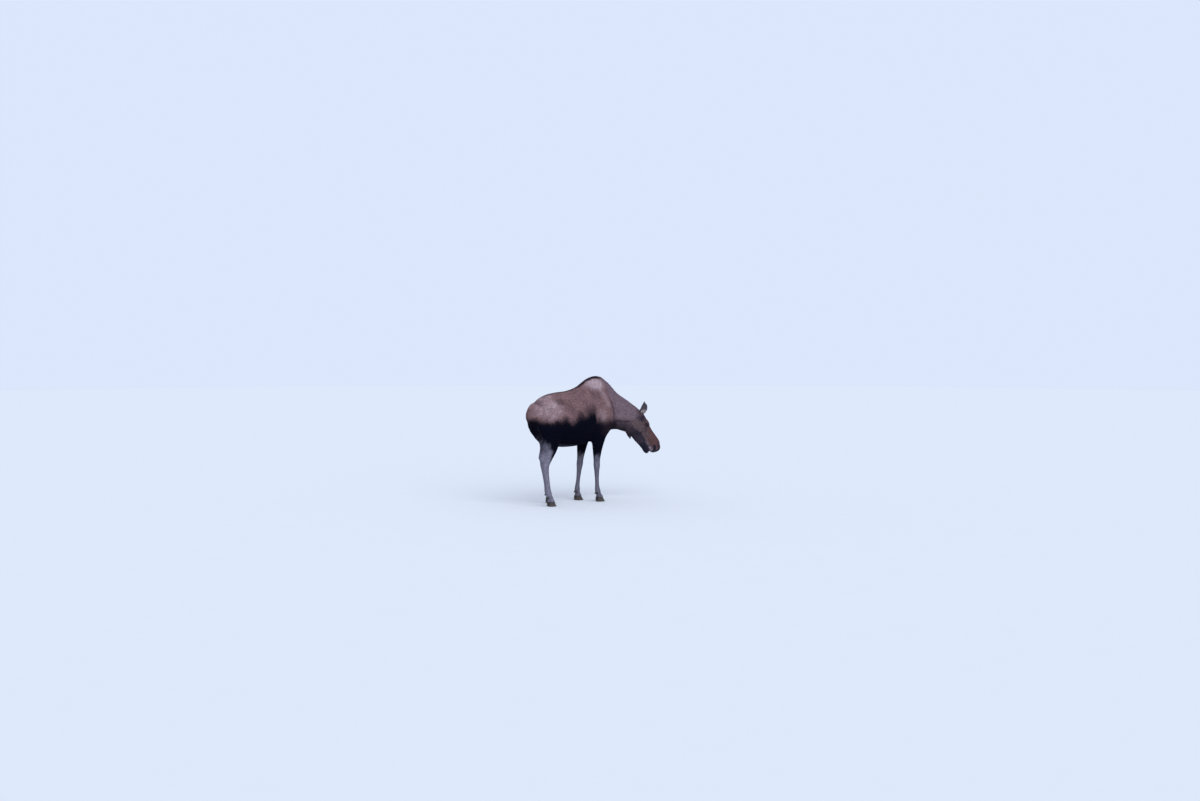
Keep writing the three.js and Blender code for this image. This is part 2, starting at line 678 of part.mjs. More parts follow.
// Rings up an ear as [share of its length, share of its half width, depth of the cup].
const EAR_RINGS = [
  [0, 0.50, 22], [0.12, 0.66, 27], [0.28, 0.92, 26], [0.46, 1, 21],
  [0.64, 0.86, 15], [0.80, 0.58, 9], [0.92, 0.28, 4], [1, 0.05, 1],
];
const EAR_WALL = 9;
function earGeometry({ root, along, mouth }) {
  const up = new THREE.Vector3(...along).normalize();
  const front = new THREE.Vector3(...mouth);
  front.addScaledVector(up, -front.dot(up)).normalize();
  const across = new THREE.Vector3().crossVectors(front, up);
  const rings = EAR_RINGS.map(([share, width, cup]) => {
    const half = EAR_HALF_WIDTH * width;
    const wall = EAR_WALL * (1 - 0.7 * share);
    const fold = (turn, depth) => [half * Math.sin(turn), cup - (cup + depth) * Math.cos(turn)];
    const back = [-90, -60, -30, 0, 30, 60, 90].map((d) => fold(THREE.MathUtils.degToRad(d), wall));
    const inside = [60, 30, 0, -30, -60].map((d) => fold(THREE.MathUtils.degToRad(d), 0));
    return [...back, ...inside.map(([x, z]) => [x * 0.93, z])].map(([x, z]) => new THREE.Vector3(...root)
      .addScaledVector(up, share * EAR_LENGTH).addScaledVector(across, x).addScaledVector(front, z).toArray());
  });
  return loft(rings);
}

function addHead() {
  const whole = solid(fieldGeometry(bodyInHeadFrame, ...HEAD_GRID));
  const skull = keep(whole, HEAD_CUT_LOCAL);
  const sockets = SIDES.map(([, side]) => solid(new THREE.SphereGeometry(EYE_RADIUS + GAP, 10, 8)
    .translate(EYE_PLACE[0], side * EYE_PLACE[1], EYE_PLACE[2])));
  const parted = sockets.reduce((left, socket) => left.subtract(socket), skull);
  addPart('head', geometryOf(parted), materials.face, head);
  for (const [sideName, side] of SIDES) {
    const eye = addPart(`eye_${sideName}`, new THREE.SphereGeometry(EYE_RADIUS, 10, 8), materials.eye, head);
    eye.position.set(EYE_PLACE[0], side * EYE_PLACE[1], EYE_PLACE[2]);
    const ear = seated(solid(earGeometry(EARS[sideName])), skull, EARS[sideName].along);
    addPart(`ear_${sideName}`, geometryOf(ear), materials.ear, head);
  }
  const hanging = loft(hangingRings(BELL)).applyMatrix4(fromHeadFrame);
  const down = new THREE.Vector3(0, 0, -1).transformDirection(fromHeadFrame).toArray();
  addPart('bell', geometryOf(seated(solid(hanging), skull, down)), materials.neckCoat, head);
}
addHead();

// The row's frame: the origin under the middle of the animal, on the floor.
const bounds = new THREE.Box3().setFromObject(moose, true);
const middle = bounds.getCenter(new THREE.Vector3());
moose.position.set(-middle.x, -middle.y, -bounds.min.z);

export default moose;
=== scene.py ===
"""A cow moose in her winter coat, life size: one skin, its coat of tufts, eyes and hooves, built
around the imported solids. Lengths are in millimetres in the body's own frame until a mesh is made."""
import math
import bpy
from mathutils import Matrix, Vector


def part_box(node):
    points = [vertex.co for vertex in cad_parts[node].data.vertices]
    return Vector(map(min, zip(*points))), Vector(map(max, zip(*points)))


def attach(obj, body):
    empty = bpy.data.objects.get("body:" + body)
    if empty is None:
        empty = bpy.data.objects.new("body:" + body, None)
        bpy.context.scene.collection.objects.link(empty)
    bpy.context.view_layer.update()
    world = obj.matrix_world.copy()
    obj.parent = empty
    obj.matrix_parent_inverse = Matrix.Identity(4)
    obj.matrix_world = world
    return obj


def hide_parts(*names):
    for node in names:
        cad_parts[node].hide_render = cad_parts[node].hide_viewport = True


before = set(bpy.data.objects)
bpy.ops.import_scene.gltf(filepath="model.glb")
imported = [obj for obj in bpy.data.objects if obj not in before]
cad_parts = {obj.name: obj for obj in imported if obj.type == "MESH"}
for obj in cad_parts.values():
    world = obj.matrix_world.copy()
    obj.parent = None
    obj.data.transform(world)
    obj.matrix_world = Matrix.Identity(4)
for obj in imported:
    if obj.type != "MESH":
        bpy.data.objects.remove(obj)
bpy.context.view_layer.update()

from concurrent.futures import ThreadPoolExecutor

import bmesh
import bpy
import numpy as np
from mathutils import Euler, Matrix, Vector

# ---- Sizes shared with the solids ----------------------------------------------------------------
HUMP = 1780
BELLY = 792
CORONET_HEIGHT = 70
FORE_TRACK = 162
HIND_TRACK = 156
LEFT_FORE_BACK = 150
LEFT_HIND_AHEAD = 215
HEAD_PLACE = (660, -163, 1322)
HEAD_DOWN = math.radians(62)
HEAD_TURN = math.radians(-28)
EYE_RADIUS = 21
EYE_PLACE = (287, 84, -19)
EAR_LENGTH = 216
EAR_HALF_WIDTH = 58
SIDES = (("right", -1), ("left", 1))
FAR = 900.0                  # what a field gives well away from its form
INNER_ROUNDING = 0.45        # how round a tube's spans end inside it
SPAN_STEPS = 4
TO_METRES = 0.001
BODY_MARGIN = 190            # how far past its stations a mass is worked out
LEG_MARGIN = 140
HEAD_MARGIN = 130
TRIM_MARGIN = 60
NECK_FILLET = 110            # how softly two masses join
HEAD_FILLET = 60
LEG_FILLET = 70
TENDON_FILLET = 50
TRIM_FILLET = 14

# Stations of the trunk as [x, height of the back, height of the belly, half width, taper].
TRUNK_OUTLINE = [
    (-1070, 1416, 1100, 140, 0.10),
    (-1000, 1486, 995, 184, 0.14),
    (-880, 1536, 905, 216, 0.16),
    (-720, 1562, BELLY + 16, 256, 0.16),
    (-520, 1582, BELLY, 280, 0.18),
    (-330, 1640, BELLY + 16, 274, 0.25),
    (-160, HUMP - 33, BELLY + 60, 248, 0.33),
    (-20, HUMP + 1, BELLY + 105, 222, 0.40),
    (90, HUMP - 17, BELLY + 146, 194, 0.38),
    (170, HUMP - 82, BELLY + 214, 160, 0.30),
]
# Stations below are [x, y, z, half depth, half width, taper].
NECK = [
    (-40, 0, 1330, 320, 176, 0.2),
    (110, -12, 1320, 306, 166, 0.2),
    (250, -38, 1283, 258, 148, 0.16),
    (400, -78, 1220, 228, 132, 0.1),
    (530, -110, 1152, 202, 120, 0.06),
    (600, -128, 1108, 184, 108, 0),
]
# Down a foreleg: shoulder blade, elbow, forearm, knee, cannon, fetlock, pastern and coronet.
FORELEG = [
    (-60, 118, 1440, 110, 60),
    (0, 144, 1290, 148, 80),
    (6, 158, 1140, 154, 86),
    (-70, 168, 1000, 138, 80),
    (-96, 170, 880, 106, 72),
    (-110, 168, 750, 75, 58),
    (-118, 166, 610, 51, 46),
    (-118, 165, 505, 45, 44),
    (-117, 164, 430, 36, 35),
    (-112, FORE_TRACK, 300, 29, 28),
    (-108, FORE_TRACK, 215, 32, 31),
    (-100, FORE_TRACK, 162, 39, 38),
    (-82, FORE_TRACK, 108, 35, 39),
    (-64, FORE_TRACK, 66, 47, 52),
    (-58, FORE_TRACK, 30, 48, 52),
]
# Down a hind leg: hip, thigh, stifle, gaskin, hock, cannon, fetlock, pastern and coronet.
HINDLEG = [
    (-930, 96, 1290, 165, 94),
    (-950, 124, 1160, 176, 98),
    (-935, 144, 1045, 164, 94),
    (-918, 154, 930, 138, 84),
    (-945, 160, 805, 112, 70),
    (-988, 158, 695, 88, 55),
    (-1022, HIND_TRACK, 605, 71, 48),
    (-1028, HIND_TRACK, 535, 56, 43),
    (-1012, HIND_TRACK, 430, 43, 36),
    (-992, HIND_TRACK, 310, 37, 33),
    (-978, HIND_TRACK, 225, 38, 35),
    (-968, HIND_TRACK, 170, 44, 41),
    (-950, HIND_TRACK, 112, 37, 40),
    (-930, HIND_TRACK, 68, 48, 53),
    (-924, HIND_TRACK, 30, 48, 53),
]
TENDON = [(-1020, 158, 830, 22, 20), (-1084, HIND_TRACK, 645, 32, 24)]
# Skull and muzzle in the head's frame as [x, height of the face, height below, half width, taper].
FACE_OUTLINE = [
    (10, -30, -245, 84, 0.10),
    (90, 14, -262, 92, 0.04),
    (175, 34, -250, 94, 0.06),
    (285, 30, -208, 84, 0.12),
    (400, 31, -158, 69, 0.08),
    (500, 44, -140, 67, -0.02),
    (590, 52, -140, 76, -0.08),
    (640, 34, -136, 76, -0.10),
]
LIP = [
    (300, 0, -150, 66, 66),
    (420, 0, -142, 56, 57),
    (520, 0, -128, 50, 59),
    (600, 0, -110, 48, 66),
    (648, 0, -92, 44, 64),
]
JAW = [
    (150, 0, -232, 76, 62),
    (270, 0, -230, 66, 57),
    (400, 0, -214, 60, 50),
    (500, 0, -196, 48, 45),
    (590, 0, -180, 40, 46),
]
# Down the tail: [height, distance of its middle behind the rump, half depth, half width].
TAIL = [(1412, -12, 16, 24), (1385, -4, 21, 28), (1345, 1, 20, 26), (1305, 1, 16, 19), (1272, -2, 6, 8)]
BELL = [
    (505, -118, 985, 44, 22),
    (524, -122, 938, 38, 19),
    (541, -127, 896, 25, 13),
    (552, -131, 862, 12, 8),
    (556, -133, 842, 4, 3),
]


# ---- Fields: negative inside a form, growing by about a millimetre per millimetre -----------------
def smooth_union(a, b, fillet):
    near = np.maximum(fillet - np.abs(a - b), 0) / fillet
    return np.minimum(a, b) - near * near * fillet / 4


def ramp(start, end, value):
    t = np.clip((value - start) / (end - start), 0, 1)
    return t * t * (3 - 2 * t)


def ellipsoid_distance(x, y, z, a, b, c):
    reach = np.sqrt((x / a) ** 2 + (y / b) ** 2 + (z / c) ** 2)
    slope = np.sqrt((x / (a * a)) ** 2 + (y / (b * b)) ** 2 + (z / (c * c)) ** 2)
    return reach * (reach - 1) / np.maximum(slope, 1e-6)


def ellipsoid(centre, sizes):
    def distance(p):
        return ellipsoid_distance(p[:, 0] - centre[0], p[:, 1] - centre[1], p[:, 2] - centre[2], *sizes)
    return distance


def smooth_rows(rows, steps):
    """Rows of numbers joined by a smooth curve through all of them, each span cut into steps."""
    rows = np.array(rows, float)
    before = np.vstack([rows[:1], rows[:-2]])
    after = np.vstack([rows[2:], rows[-1:]])
    a, b = rows[:-1], rows[1:]
    leave, arrive = (b - before) / 2, (after - a) / 2
    made = []
    for t in np.arange(steps) / steps:
        made.append(a + leave * t + (3 * (b - a) - 2 * leave - arrive) * t * t
                    + (2 * (a - b) + leave + arrive) * t ** 3)
    inner = np.stack(made, axis=1).reshape(-1, rows.shape[1])
    return np.vstack([inner, rows[-1:]])


def span_distance(p, a, b, upright, roundings):
    """The distance to one span of a tube with an oval section, its two ends rounded by shares."""
    course = b[:3] - a[:3]
    along = np.array([1, 0, 0]) if upright else course / np.linalg.norm(course)
    length = course @ along
    side = np.array([0, 1, 0]) - along * along[1]
    side = side / np.linalg.norm(side)
    deep = np.cross(along, side)
    q = p - a[:3].astype(np.float32)
    run = q @ along.astype(np.float32)
    t = np.clip(run / length, 0, 1)
    half_depth = a[3] + (b[3] - a[3]) * t
    up = q @ deep.astype(np.float32) - (course @ deep) * t
    rise = np.clip(up / half_depth, -1, 1)
    half_width = (a[4] + (b[4] - a[4]) * t) * (1 - (a[5] + (b[5] - a[5]) * t) * rise)
    across = q @ side.astype(np.float32) - (course @ side) * t
    end = np.minimum(half_depth, half_width) * np.where(run < 0, *roundings).astype(np.float32)
    return ellipsoid_distance(run - t * length, across, up, end, half_width, half_depth)


def tube(stations, margin, upright=False):
    """A bent form with an oval section. Its sections stand square to it, or all upright across X."""
    rows = smooth_rows([(*s, 0)[:6] for s in stations], SPAN_STEPS)

    def distance(p):
        found = np.full(len(p), FAR, np.float32)
        for first in range(0, len(rows) - 1, SPAN_STEPS):
            group = rows[first:first + SPAN_STEPS + 1]
            room = group[:, 3:5].max() * 1.4 + margin
            low, high = group[:, :3].min(0) - room, group[:, :3].max(0) + room
            near = np.flatnonzero(((p > low) & (p < high)).all(axis=1))
            if len(near):
                best = found[near]
                for n in range(first, first + len(group) - 1):
                    roundings = (1 if n == 0 else INNER_ROUNDING,
                                 1 if n + 2 == len(rows) else INNER_ROUNDING)
                    span = span_distance(p[near], rows[n], rows[n + 1], upright, roundings)
                    best = np.minimum(best, span)
                found[near] = best
        return found
    return distance


def fore_stance(side, z):
    return -LEFT_FORE_BACK * max(0, 1 - z / 1000) ** 1.7 if side > 0 else 0


def hind_stance(side, z):
    return LEFT_HIND_AHEAD * float(ramp(1250, 720, z)) if side > 0 else 0


def leg_stations(rows, stance, side):
    return [(x + stance(side, z), side * y, z, depth, width) for x, y, z, depth, width in rows]


def upright_tube(outline, margin):
    return tube([(x, 0, (top + under) / 2, (top - under) / 2, half_width, taper)
                 for x, top, under, half_width, taper in outline], margin, upright=True)


trunk_mass = upright_tube(TRUNK_OUTLINE, BODY_MARGIN)
neck_mass = tube(NECK, BODY_MARGIN)
HEAD_MASSES = [
    (upright_tube(FACE_OUTLINE, HEAD_MARGIN), 1),
    (tube(LIP, HEAD_MARGIN), 30),
    (tube(JAW, HEAD_MARGIN), 60),
    (ellipsoid((612, 0, -188), (54, 49, 36)), 26),
]
for _, side in SIDES:
    HEAD_MASSES += [
        (ellipsoid((222, side * 50, -160), (112, 42, 88)), 60),
        (ellipsoid((258, side * 66, 0), (66, 27, 28)), 34),
        (ellipsoid((294, side * 66, -44), (58, 27, 28)), 34),
        (ellipsoid((634, side * 48, -58), (48, 36, 50)), 36),
        (ellipsoid((112, side * 66, -16), (42, 32, 38)), 40),
    ]
HEAD_LOW = np.array([-230, -290, -460])
HEAD_HIGH = np.array([860, 290, 250])

turn = Euler((0, HEAD_DOWN, 0)).to_matrix()
HEAD_AXES = np.array(Euler((0, 0, HEAD_TURN)).to_matrix() @ turn)


def to_head(p):
    return (p - np.array(HEAD_PLACE)) @ HEAD_AXES


def from_head(p):
    return np.asarray(p) @ HEAD_AXES.T + np.array(HEAD_PLACE)


def eye_centre(side):
    """The middle of an eye, in the head's frame."""
    return np.array([EYE_PLACE[0], side * EYE_PLACE[1], EYE_PLACE[2]])


def row_origin():
    """From the body's own frame to the row's frame, found at the right eye."""
    low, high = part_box("eye_right")
    return np.array((low + high) / 2) * 1000 - from_head(eye_centre(-1))


ORIGIN = row_origin()


def head_mass(p):
    found = np.full(len(p), FAR, np.float32)
    q = to_head(p)
    near = np.flatnonzero(((q > HEAD_LOW) & (q < HEAD_HIGH)).all(axis=1))
    if len(near):
        q = q[near].astype(np.float32)
        best = HEAD_MASSES[0][0](q)
        for mass, fillet in HEAD_MASSES[1:]:
            best = smooth_union(best, mass(q), fillet)
        found[near] = best
    return found


leg_masses = []
for _, side in SIDES:
    fore = tube(leg_stations(FORELEG, fore_stance, side), LEG_MARGIN)
    hind = tube(leg_stations(HINDLEG, hind_stance, side), LEG_MARGIN)
    tendon = tube(leg_stations(TENDON, hind_stance, side), LEG_MARGIN)
    leg_masses.append(fore)
    leg_masses.append(lambda p, hind=hind, tendon=tendon: smooth_union(hind(p), tendon(p), TENDON_FILLET))


def body_field(p):
    torso = smooth_union(trunk_mass(p), neck_mass(p), NECK_FILLET)
    torso = smooth_union(torso, head_mass(p), HEAD_FILLET)
    found = torso
    for leg in leg_masses:
        found = np.minimum(found, smooth_union(torso, leg(p), LEG_FILLET))
    return found


PART_SIZE = 40000
CORES = 4


def in_parts(function, points):
    """A function of many points, worked out in parts side by side."""
    points = points.astype(np.float32)
    parts = [points[n:n + PART_SIZE] for n in range(0, len(points), PART_SIZE)]
    with ThreadPoolExecutor(CORES) as pool:
        return np.concatenate(list(pool.map(function, parts)))


def thirds(values, axis):
    """A grid with two more values put between each pair along an axis."""
    values = np.moveaxis(values, axis, 0)
    a, b = values[:-1], values[1:]
    made = np.empty((len(a) * 3 + 1, *values.shape[1:]), np.float32)
    made[0:-1:3] = a
    made[1::3] = (2 * a + b) / 3
    made[2::3] = (a + 2 * b) / 3
    made[-1] = values[-1]
    return np.moveaxis(made, 0, axis)


EXACT_BAND = 62              # how near the surface a grid's values are exact
BOX_CORNERS = [np.array([n & 1, n >> 1 & 1, n >> 2]) for n in range(8)]


class Grid:
    """A field held at the nodes of a grid: exact near the surface, coarser away from it."""

    def __init__(self, field, low, high, step):
        self.low, self.step = np.array(low, float), step
        self.count = (np.ceil((np.array(high) - self.low) / (3 * step)) * 3 + 1).astype(int)
        axes = [self.low[k] + step * np.arange(self.count[k]) for k in range(3)]
        coarse = np.stack(np.meshgrid(*[a[::3] for a in axes], indexing="ij"), axis=-1)
        values = in_parts(field, coarse.reshape(-1, 3)).reshape(coarse.shape[:3])
        for axis in range(3):
            values = thirds(values, axis)
        near = np.abs(values) < EXACT_BAND
        where = np.argwhere(near)
        values[near] = in_parts(field, self.low + step * where)
        self.values = values

    def at(self, points):
        place = np.clip((points - self.low) / self.step, 0, self.count - 1.001)
        cell = place.astype(int)
        t = (place - cell).astype(np.float32)
        found = np.zeros(len(points), np.float32)
        for corner in BOX_CORNERS:
            weight = np.prod(np.where(corner, t, 1 - t), axis=1)
            found += weight * self.values[tuple((cell + corner).T)]
        return found

    def slope(self, points):
        found = np.empty((len(points), 3), np.float32)
        for k in range(3):
            ahead = np.array(points, float)
            ahead[:, k] += self.step
            behind = np.array(points, float)
            behind[:, k] -= self.step
            found[:, k] = (self.at(ahead) - self.at(behind)) / (2 * self.step)
        return found


def surface_of(grid):
    """Surface nets: one vertex in each box that the surface crosses, joined by quads."""
    values = grid.values
    inside = values < 0
    shape = np.array(values.shape)

    def shifted(array, corner):
        return array[tuple(slice(c, s - 1 + c) for c, s in zip(corner, shape))]
    some = np.zeros(shape - 1, bool)
    every = np.ones(shape - 1, bool)
    for corner in BOX_CORNERS:
        some |= shifted(inside, corner)
        every &= shifted(inside, corner)
    mixed = some & ~every
    cells = np.argwhere(mixed)
    total = np.zeros((len(cells), 3))
    crossings = np.zeros(len(cells))
    for n, a in enumerate(BOX_CORNERS):
        for b in BOX_CORNERS[n + 1:]:
            if np.abs(a - b).sum() == 1:
                at_a = values[tuple((cells + a).T)]
                at_b = values[tuple((cells + b).T)]
                cut = (at_a < 0) != (at_b < 0)
                t = np.where(cut, at_a / np.where(cut, at_a - at_b, 1), 0)
                total += (a + (b - a) * t[:, None]) * cut[:, None]
                crossings += cut
    points = grid.low + grid.step * (cells + total / crossings[:, None])
    number = np.full(shape - 1, -1)
    number[mixed] = np.arange(len(cells))
    quads = []
    for axis in range(3):
        u, v = (axis + 1) % 3, (axis + 2) % 3
        here = np.take(inside, range(shape[axis] - 1), axis)
        following = np.take(inside, range(1, shape[axis]), axis)
        nodes = np.argwhere(here != following)
        starts_in = here[tuple(nodes.T)]
        around = []
        for back, under in ((1, 1), (0, 1), (0, 0), (1, 0)):
            box = nodes.copy()
            box[:, u] -= back
            box[:, v] -= under
            around.append(number[tuple(box.T)])
        around = np.stack(around, axis=1)
        quads.append(np.where(starts_in[:, None], around, around[:, ::-1]))
    return points, np.vstack(quads)


# ---- The skin -------------------------------------------------------------------------------------
SKIN_STEP = 12.3
SKIN_END = CORONET_HEIGHT - 7    # the skin ends just inside the top of each hoof


def head_share(p):
    """1 on the head, 0 behind the ears, with a soft step between."""
    return ramp(50, 190, to_head(p)[:, 0]) * ramp(430, 540, p[:, 0])


def coat_depth(p):
    """How deep the coat lies, from the skin to the tips."""
    x, z = p[:, 0], p[:, 2]
    body = 9.5 + 3.5 * ramp(1560, 1700, z) * ramp(-420, -150, x)
    thigh = ramp(1060, 640, z)
    depth = body + (5.5 - body) * thigh
    depth = depth + (4 - depth) * ramp(620, 380, z)
    face = 4.2 - 1.7 * ramp(400, 560, to_head(p)[:, 0])
    return depth + (face - depth) * head_share(p)


def reach_of(x, y, z, direction):
    """How far from a point the body's surface lies along a level direction."""
    out = 0.0
    for _ in range(40):
        here = np.array([[x + out * math.cos(direction), y + out * math.sin(direction), z]])
        out -= 0.7 * float(body_field(here)[0])
    return out


tail_mass = tube([(-900 - reach_of(-900, 0, z, math.pi) - behind, 0, z, depth, width)
                  for z, behind, depth, width in TAIL], TRIM_MARGIN)
bell_mass = tube(BELL, TRIM_MARGIN)
TRIM_DEPTH = 7               # the depth of the coat on tail and bell


def skin_field(p):
    body = body_field(p) + coat_depth(p)
    trims = np.minimum(tail_mass(p), bell_mass(p)) + TRIM_DEPTH
    return np.maximum(smooth_union(body, trims, TRIM_FILLET), SKIN_END - p[:, 2])


SETTLE_ROUNDS = 2
SETTLE_PROBE = 0.6
EASING_ROUNDS = 14


def settle(points, field, most):
    """Moves points to where the field is zero. Gives them and the direction out of the form."""
    at = points.astype(np.float32)
    for _ in range(SETTLE_ROUNDS):
        value = in_parts(field, at)
        slope = np.empty_like(at)
        for k in range(3):
            ahead = at.copy()
            ahead[:, k] += SETTLE_PROBE
            slope[:, k] = (in_parts(field, ahead) - value) / SETTLE_PROBE
        steep = np.maximum((slope ** 2).sum(axis=1), 0.1)
        at = at - (value / steep)[:, None] * slope
    moved = at - points
    far = np.linalg.norm(moved, axis=1)
    at = points + moved * np.minimum(1, most / np.maximum(far, 1e-6))[:, None]
    return at, slope / np.linalg.norm(slope, axis=1)[:, None]


def mesh_of(name, points, faces):
    mesh = bpy.data.meshes.new(name)
    mesh.from_pydata(points, [], faces)
    return mesh


def refined(points, faces, chosen, cuts):
    """Splits the chosen faces into a finer grid. Faces come and go as lists of corners."""
    mesh = mesh_of("work", points, faces)
    work = bmesh.new()
    work.from_mesh(mesh)
    work.faces.ensure_lookup_table()
    edges = {edge for n in np.flatnonzero(chosen) for edge in work.faces[n].edges}
    edges = sorted(edges, key=lambda edge: edge.index)
    bmesh.ops.subdivide_edges(work, edges=edges, cuts=cuts, use_grid_fill=True)
    work.to_mesh(mesh)
    work.free()
    made = np.empty(len(mesh.vertices) * 3)
    mesh.vertices.foreach_get("co", made)
    faces = [tuple(polygon.vertices) for polygon in mesh.polygons]
    bpy.data.meshes.remove(mesh)
    return made.reshape(-1, 3), faces


def face_centres(points, faces):
    return np.array([points[list(face)].mean(axis=0) for face in faces])


def path_distance(p, path):
    """The distance from points to a line through a few places."""
    path = np.array(path, float)
    found = np.full(len(p), 1e6)
    for a, b in zip(path[:-1], path[1:]):
        along = b - a
        t = np.clip((p - a) @ along / (along @ along), 0, 1)
        found = np.minimum(found, np.linalg.norm(p - a - t[:, None] * along, axis=1))
    return found


def side_distance(p, line):
    """The distance to a line given as (x, z), seen from the side."""
    return path_distance(p * np.array([1, 0, 1]), [(x, 0, z) for x, z in line])


def swell(distance, width, height):
    """A soft swelling, highest where the distance is 0."""
    return height * np.exp(-(distance / width) ** 2)


def crease(p, path, width, depth):
    """A soft groove along a path, or a ridge where the depth is negative."""
    return swell(path_distance(p, path), width, -depth)


def side_line(p, line, width, depth):
    """A groove along a line given as (x, z), or a ridge where the depth is negative."""
    return swell(side_distance(p, line), width, -depth)


def knob(p, centre, radius, height):
    return swell(np.linalg.norm(p - np.array(centre), axis=1), radius, height)


def carved(p, details):
    """The heights of grooves along paths or lines of the side, and of knobs about single places."""
    height = np.zeros(len(p))
    for place, width, amount in details:
        if isinstance(place, tuple):
            form = knob
        else:
            form = side_line if len(place[0]) == 2 else crease
        height += form(p, place, width, amount)
    return height


def mirrored(p, side):
    """The points as seen from the left side, so that each detail is written once."""
    q = np.array(p, float)
    q[:, 1] *= side
    return q


# Details of each side, as a groove's path, width and depth, or a knob's middle, radius and height.
BODY_DETAILS = [
    ([(20, 120, 1600), (0, 170, 1480), (-60, 205, 1300), (-80, 210, 1120)], 52, -7),
    ([(130, 120, 1520), (155, 140, 1420), (172, 150, 1270), (150, 150, 1100)], 34, 8),
    ([(-180, 190, 1440), (-200, 220, 1260), (-200, 215, 1090), (-190, 190, 980)], 46, 8),
    ((-170, 195, 975), 40, 6),
    ([(-950, 100, 1480), (-850, 140, 1530)], 34, -8),
    ((-745, 215, 1442), 66, -11),
    ((-985, 130, 1418), 55, -8),
    ([(-860, 205, 1400), (-745, 240, 1385), (-640, 240, 1400)], 40, -6),
    ((-600, 235, 1330), 100, -9),
    ((-1050, 100, 1330), 60, 8),
    ([(-690, 235, 1080), (-665, 225, 960), (-640, 190, 870)], 26, -8),
    ([(-860, 215, 1300), (-790, 225, 1150), (-760, 210, 1000)], 34, 6),
    ([(-1010, 150, 1250), (-1000, 180, 1100), (-985, 190, 960)], 26, 5),
]
NECK_FOLDS = [
    ([(150, -190, 1180), (330, -215, 1150), (490, -245, 1120)], 24, 8),
    ([(150, 130, 1180), (330, 90, 1150), (490, 20, 1120)], 24, 8),
    ([(250, -38, 1545), (400, -78, 1450), (540, -112, 1360)], 46, -11),
]
FORELEG_DETAILS = [
    ([(-132, 430), (-124, 300), (-120, 215)], 7, 2.6),
    ((-80, 165, 515), 30, 3),
    ((-160, 165, 530), 20, 5),
    ([(-100, 800), (-112, 690), (-120, 590)], 16, 3),
]
HINDLEG_DETAILS = [
    ([(-1000, 840), (-1035, 740), (-1050, 660)], 13, 6),
    ([(-1030, 470), (-1005, 300), (-994, 215)], 7, 2.6),
    ((-1010, 200, 585), 22, 4),
    ((-1010, 112, 585), 22, 4),
]
# On the side of the head, in the head's frame.
NOSTRIL = [(674, -104), (660, -84), (640, -70), (616, -62)]
MOUTH = [(700, -139), (655, -143), (600, -154), (540, -164), (480, -167), (448, -163)]
HEAD_DETAILS = [
    (NOSTRIL, 21, -6),
    (NOSTRIL, 8, 15),
    (NOSTRIL[:3], 11, 12),
    (MOUTH, 6, 8),
    ([(x, z + 19) for x, z in MOUTH], 11, -3.5),
    ([(690, -112), (660, -122), (620, -130)], 7, 2),
    ([(322, 92, -50), (340, 86, -64), (356, 80, -76)], 5, 5),
    ([(336, -92), (262, -96), (170, -84)], 17, -5),
    ([(352, -108), (368, -160), (346, -214)], 17, 6),
    ([(400, -112), (470, -100), (560, -96)], 22, 3.5),
    ([(330, 36, 30), (450, 34, 38), (590, 38, 46)], 11, -3),
    ([(232, 16), (268, 22), (306, 8)], 13, -4),
    ([(250, -66), (290, -72), (322, -62)], 9, 3.5),
    ([(252, -54), (290, -58), (318, -50)], 5, -2),
    *[([(600 - back, -34), (588 - back, -66), (594 - back, -104)], 4, 1.7) for back in (0, 13, 26)],
]


def body_relief(p):
    """Muscles, bones and folds under the coat, as heights over the plain skin."""
    height = np.zeros(len(p))
    for _, side in SIDES:
        q = mirrored(p, side)
        here = carved(q, BODY_DETAILS)
        ribs = np.sin((q[:, 0] + 0.35 * (q[:, 2] - 1200)) / 12.5)
        flank = ramp(-640, -560, q[:, 0]) * ramp(-240, -300, q[:, 0])
        here += 0.5 * ribs * flank * ramp(940, 1020, q[:, 2]) * ramp(1420, 1320, q[:, 2])
        height += here * ramp(10, 90, q[:, 1]) * ramp(1690, 1540, q[:, 2])
    near, far, nape = (crease(p, *fold) for fold in NECK_FOLDS)
    return (height + near + far + nape) * (1 - head_share(p))


def leg_relief(p):
    """Sinews and joints of the lower legs."""
    height = np.zeros(len(p))
    levels = np.arange(0, 1001, 25)
    for _, side in SIDES:
        on_side = ramp(10, 60, p[:, 1] * side)
        for stance, details, start, end in ((fore_stance, FORELEG_DETAILS, -500, -400),
                                            (hind_stance, HINDLEG_DETAILS, -600, -700)):
            q = mirrored(p, side)
            q[:, 0] -= np.interp(q[:, 2], levels, [stance(side, float(z)) for z in levels])
            height += carved(q, details) * on_side * ramp(start, end, q[:, 0])
    return height * ramp(960, 860, p[:, 2])


def head_relief(p):
    """Nostrils, mouth, brow, cheek and nose, in the head's frame."""
    q = to_head(p)
    height = crease(q, [(250, 0, -300), (500, 0, -250)], 16, 4)
    height -= 3 * np.exp(-(q[:, 1] / 5) ** 2) * ramp(655, 685, q[:, 0]) * ramp(-20, -60, q[:, 2])
    for _, side in SIDES:
        s = mirrored(q, side)
        height += carved(s, HEAD_DETAILS) * ramp(-2, 12, s[:, 1])
    return height * ramp(80, 160, q[:, 0])


def relief(p):
    return body_relief(p) + leg_relief(p) + head_relief(p)


LID_RADIUS = EYE_RADIUS + 3.2
OPENING_LENGTH = 18.5
OPENING_HEIGHT = 10.4
EYE_SLANT = math.radians(14)
OFF_THE_EYE = -50.0


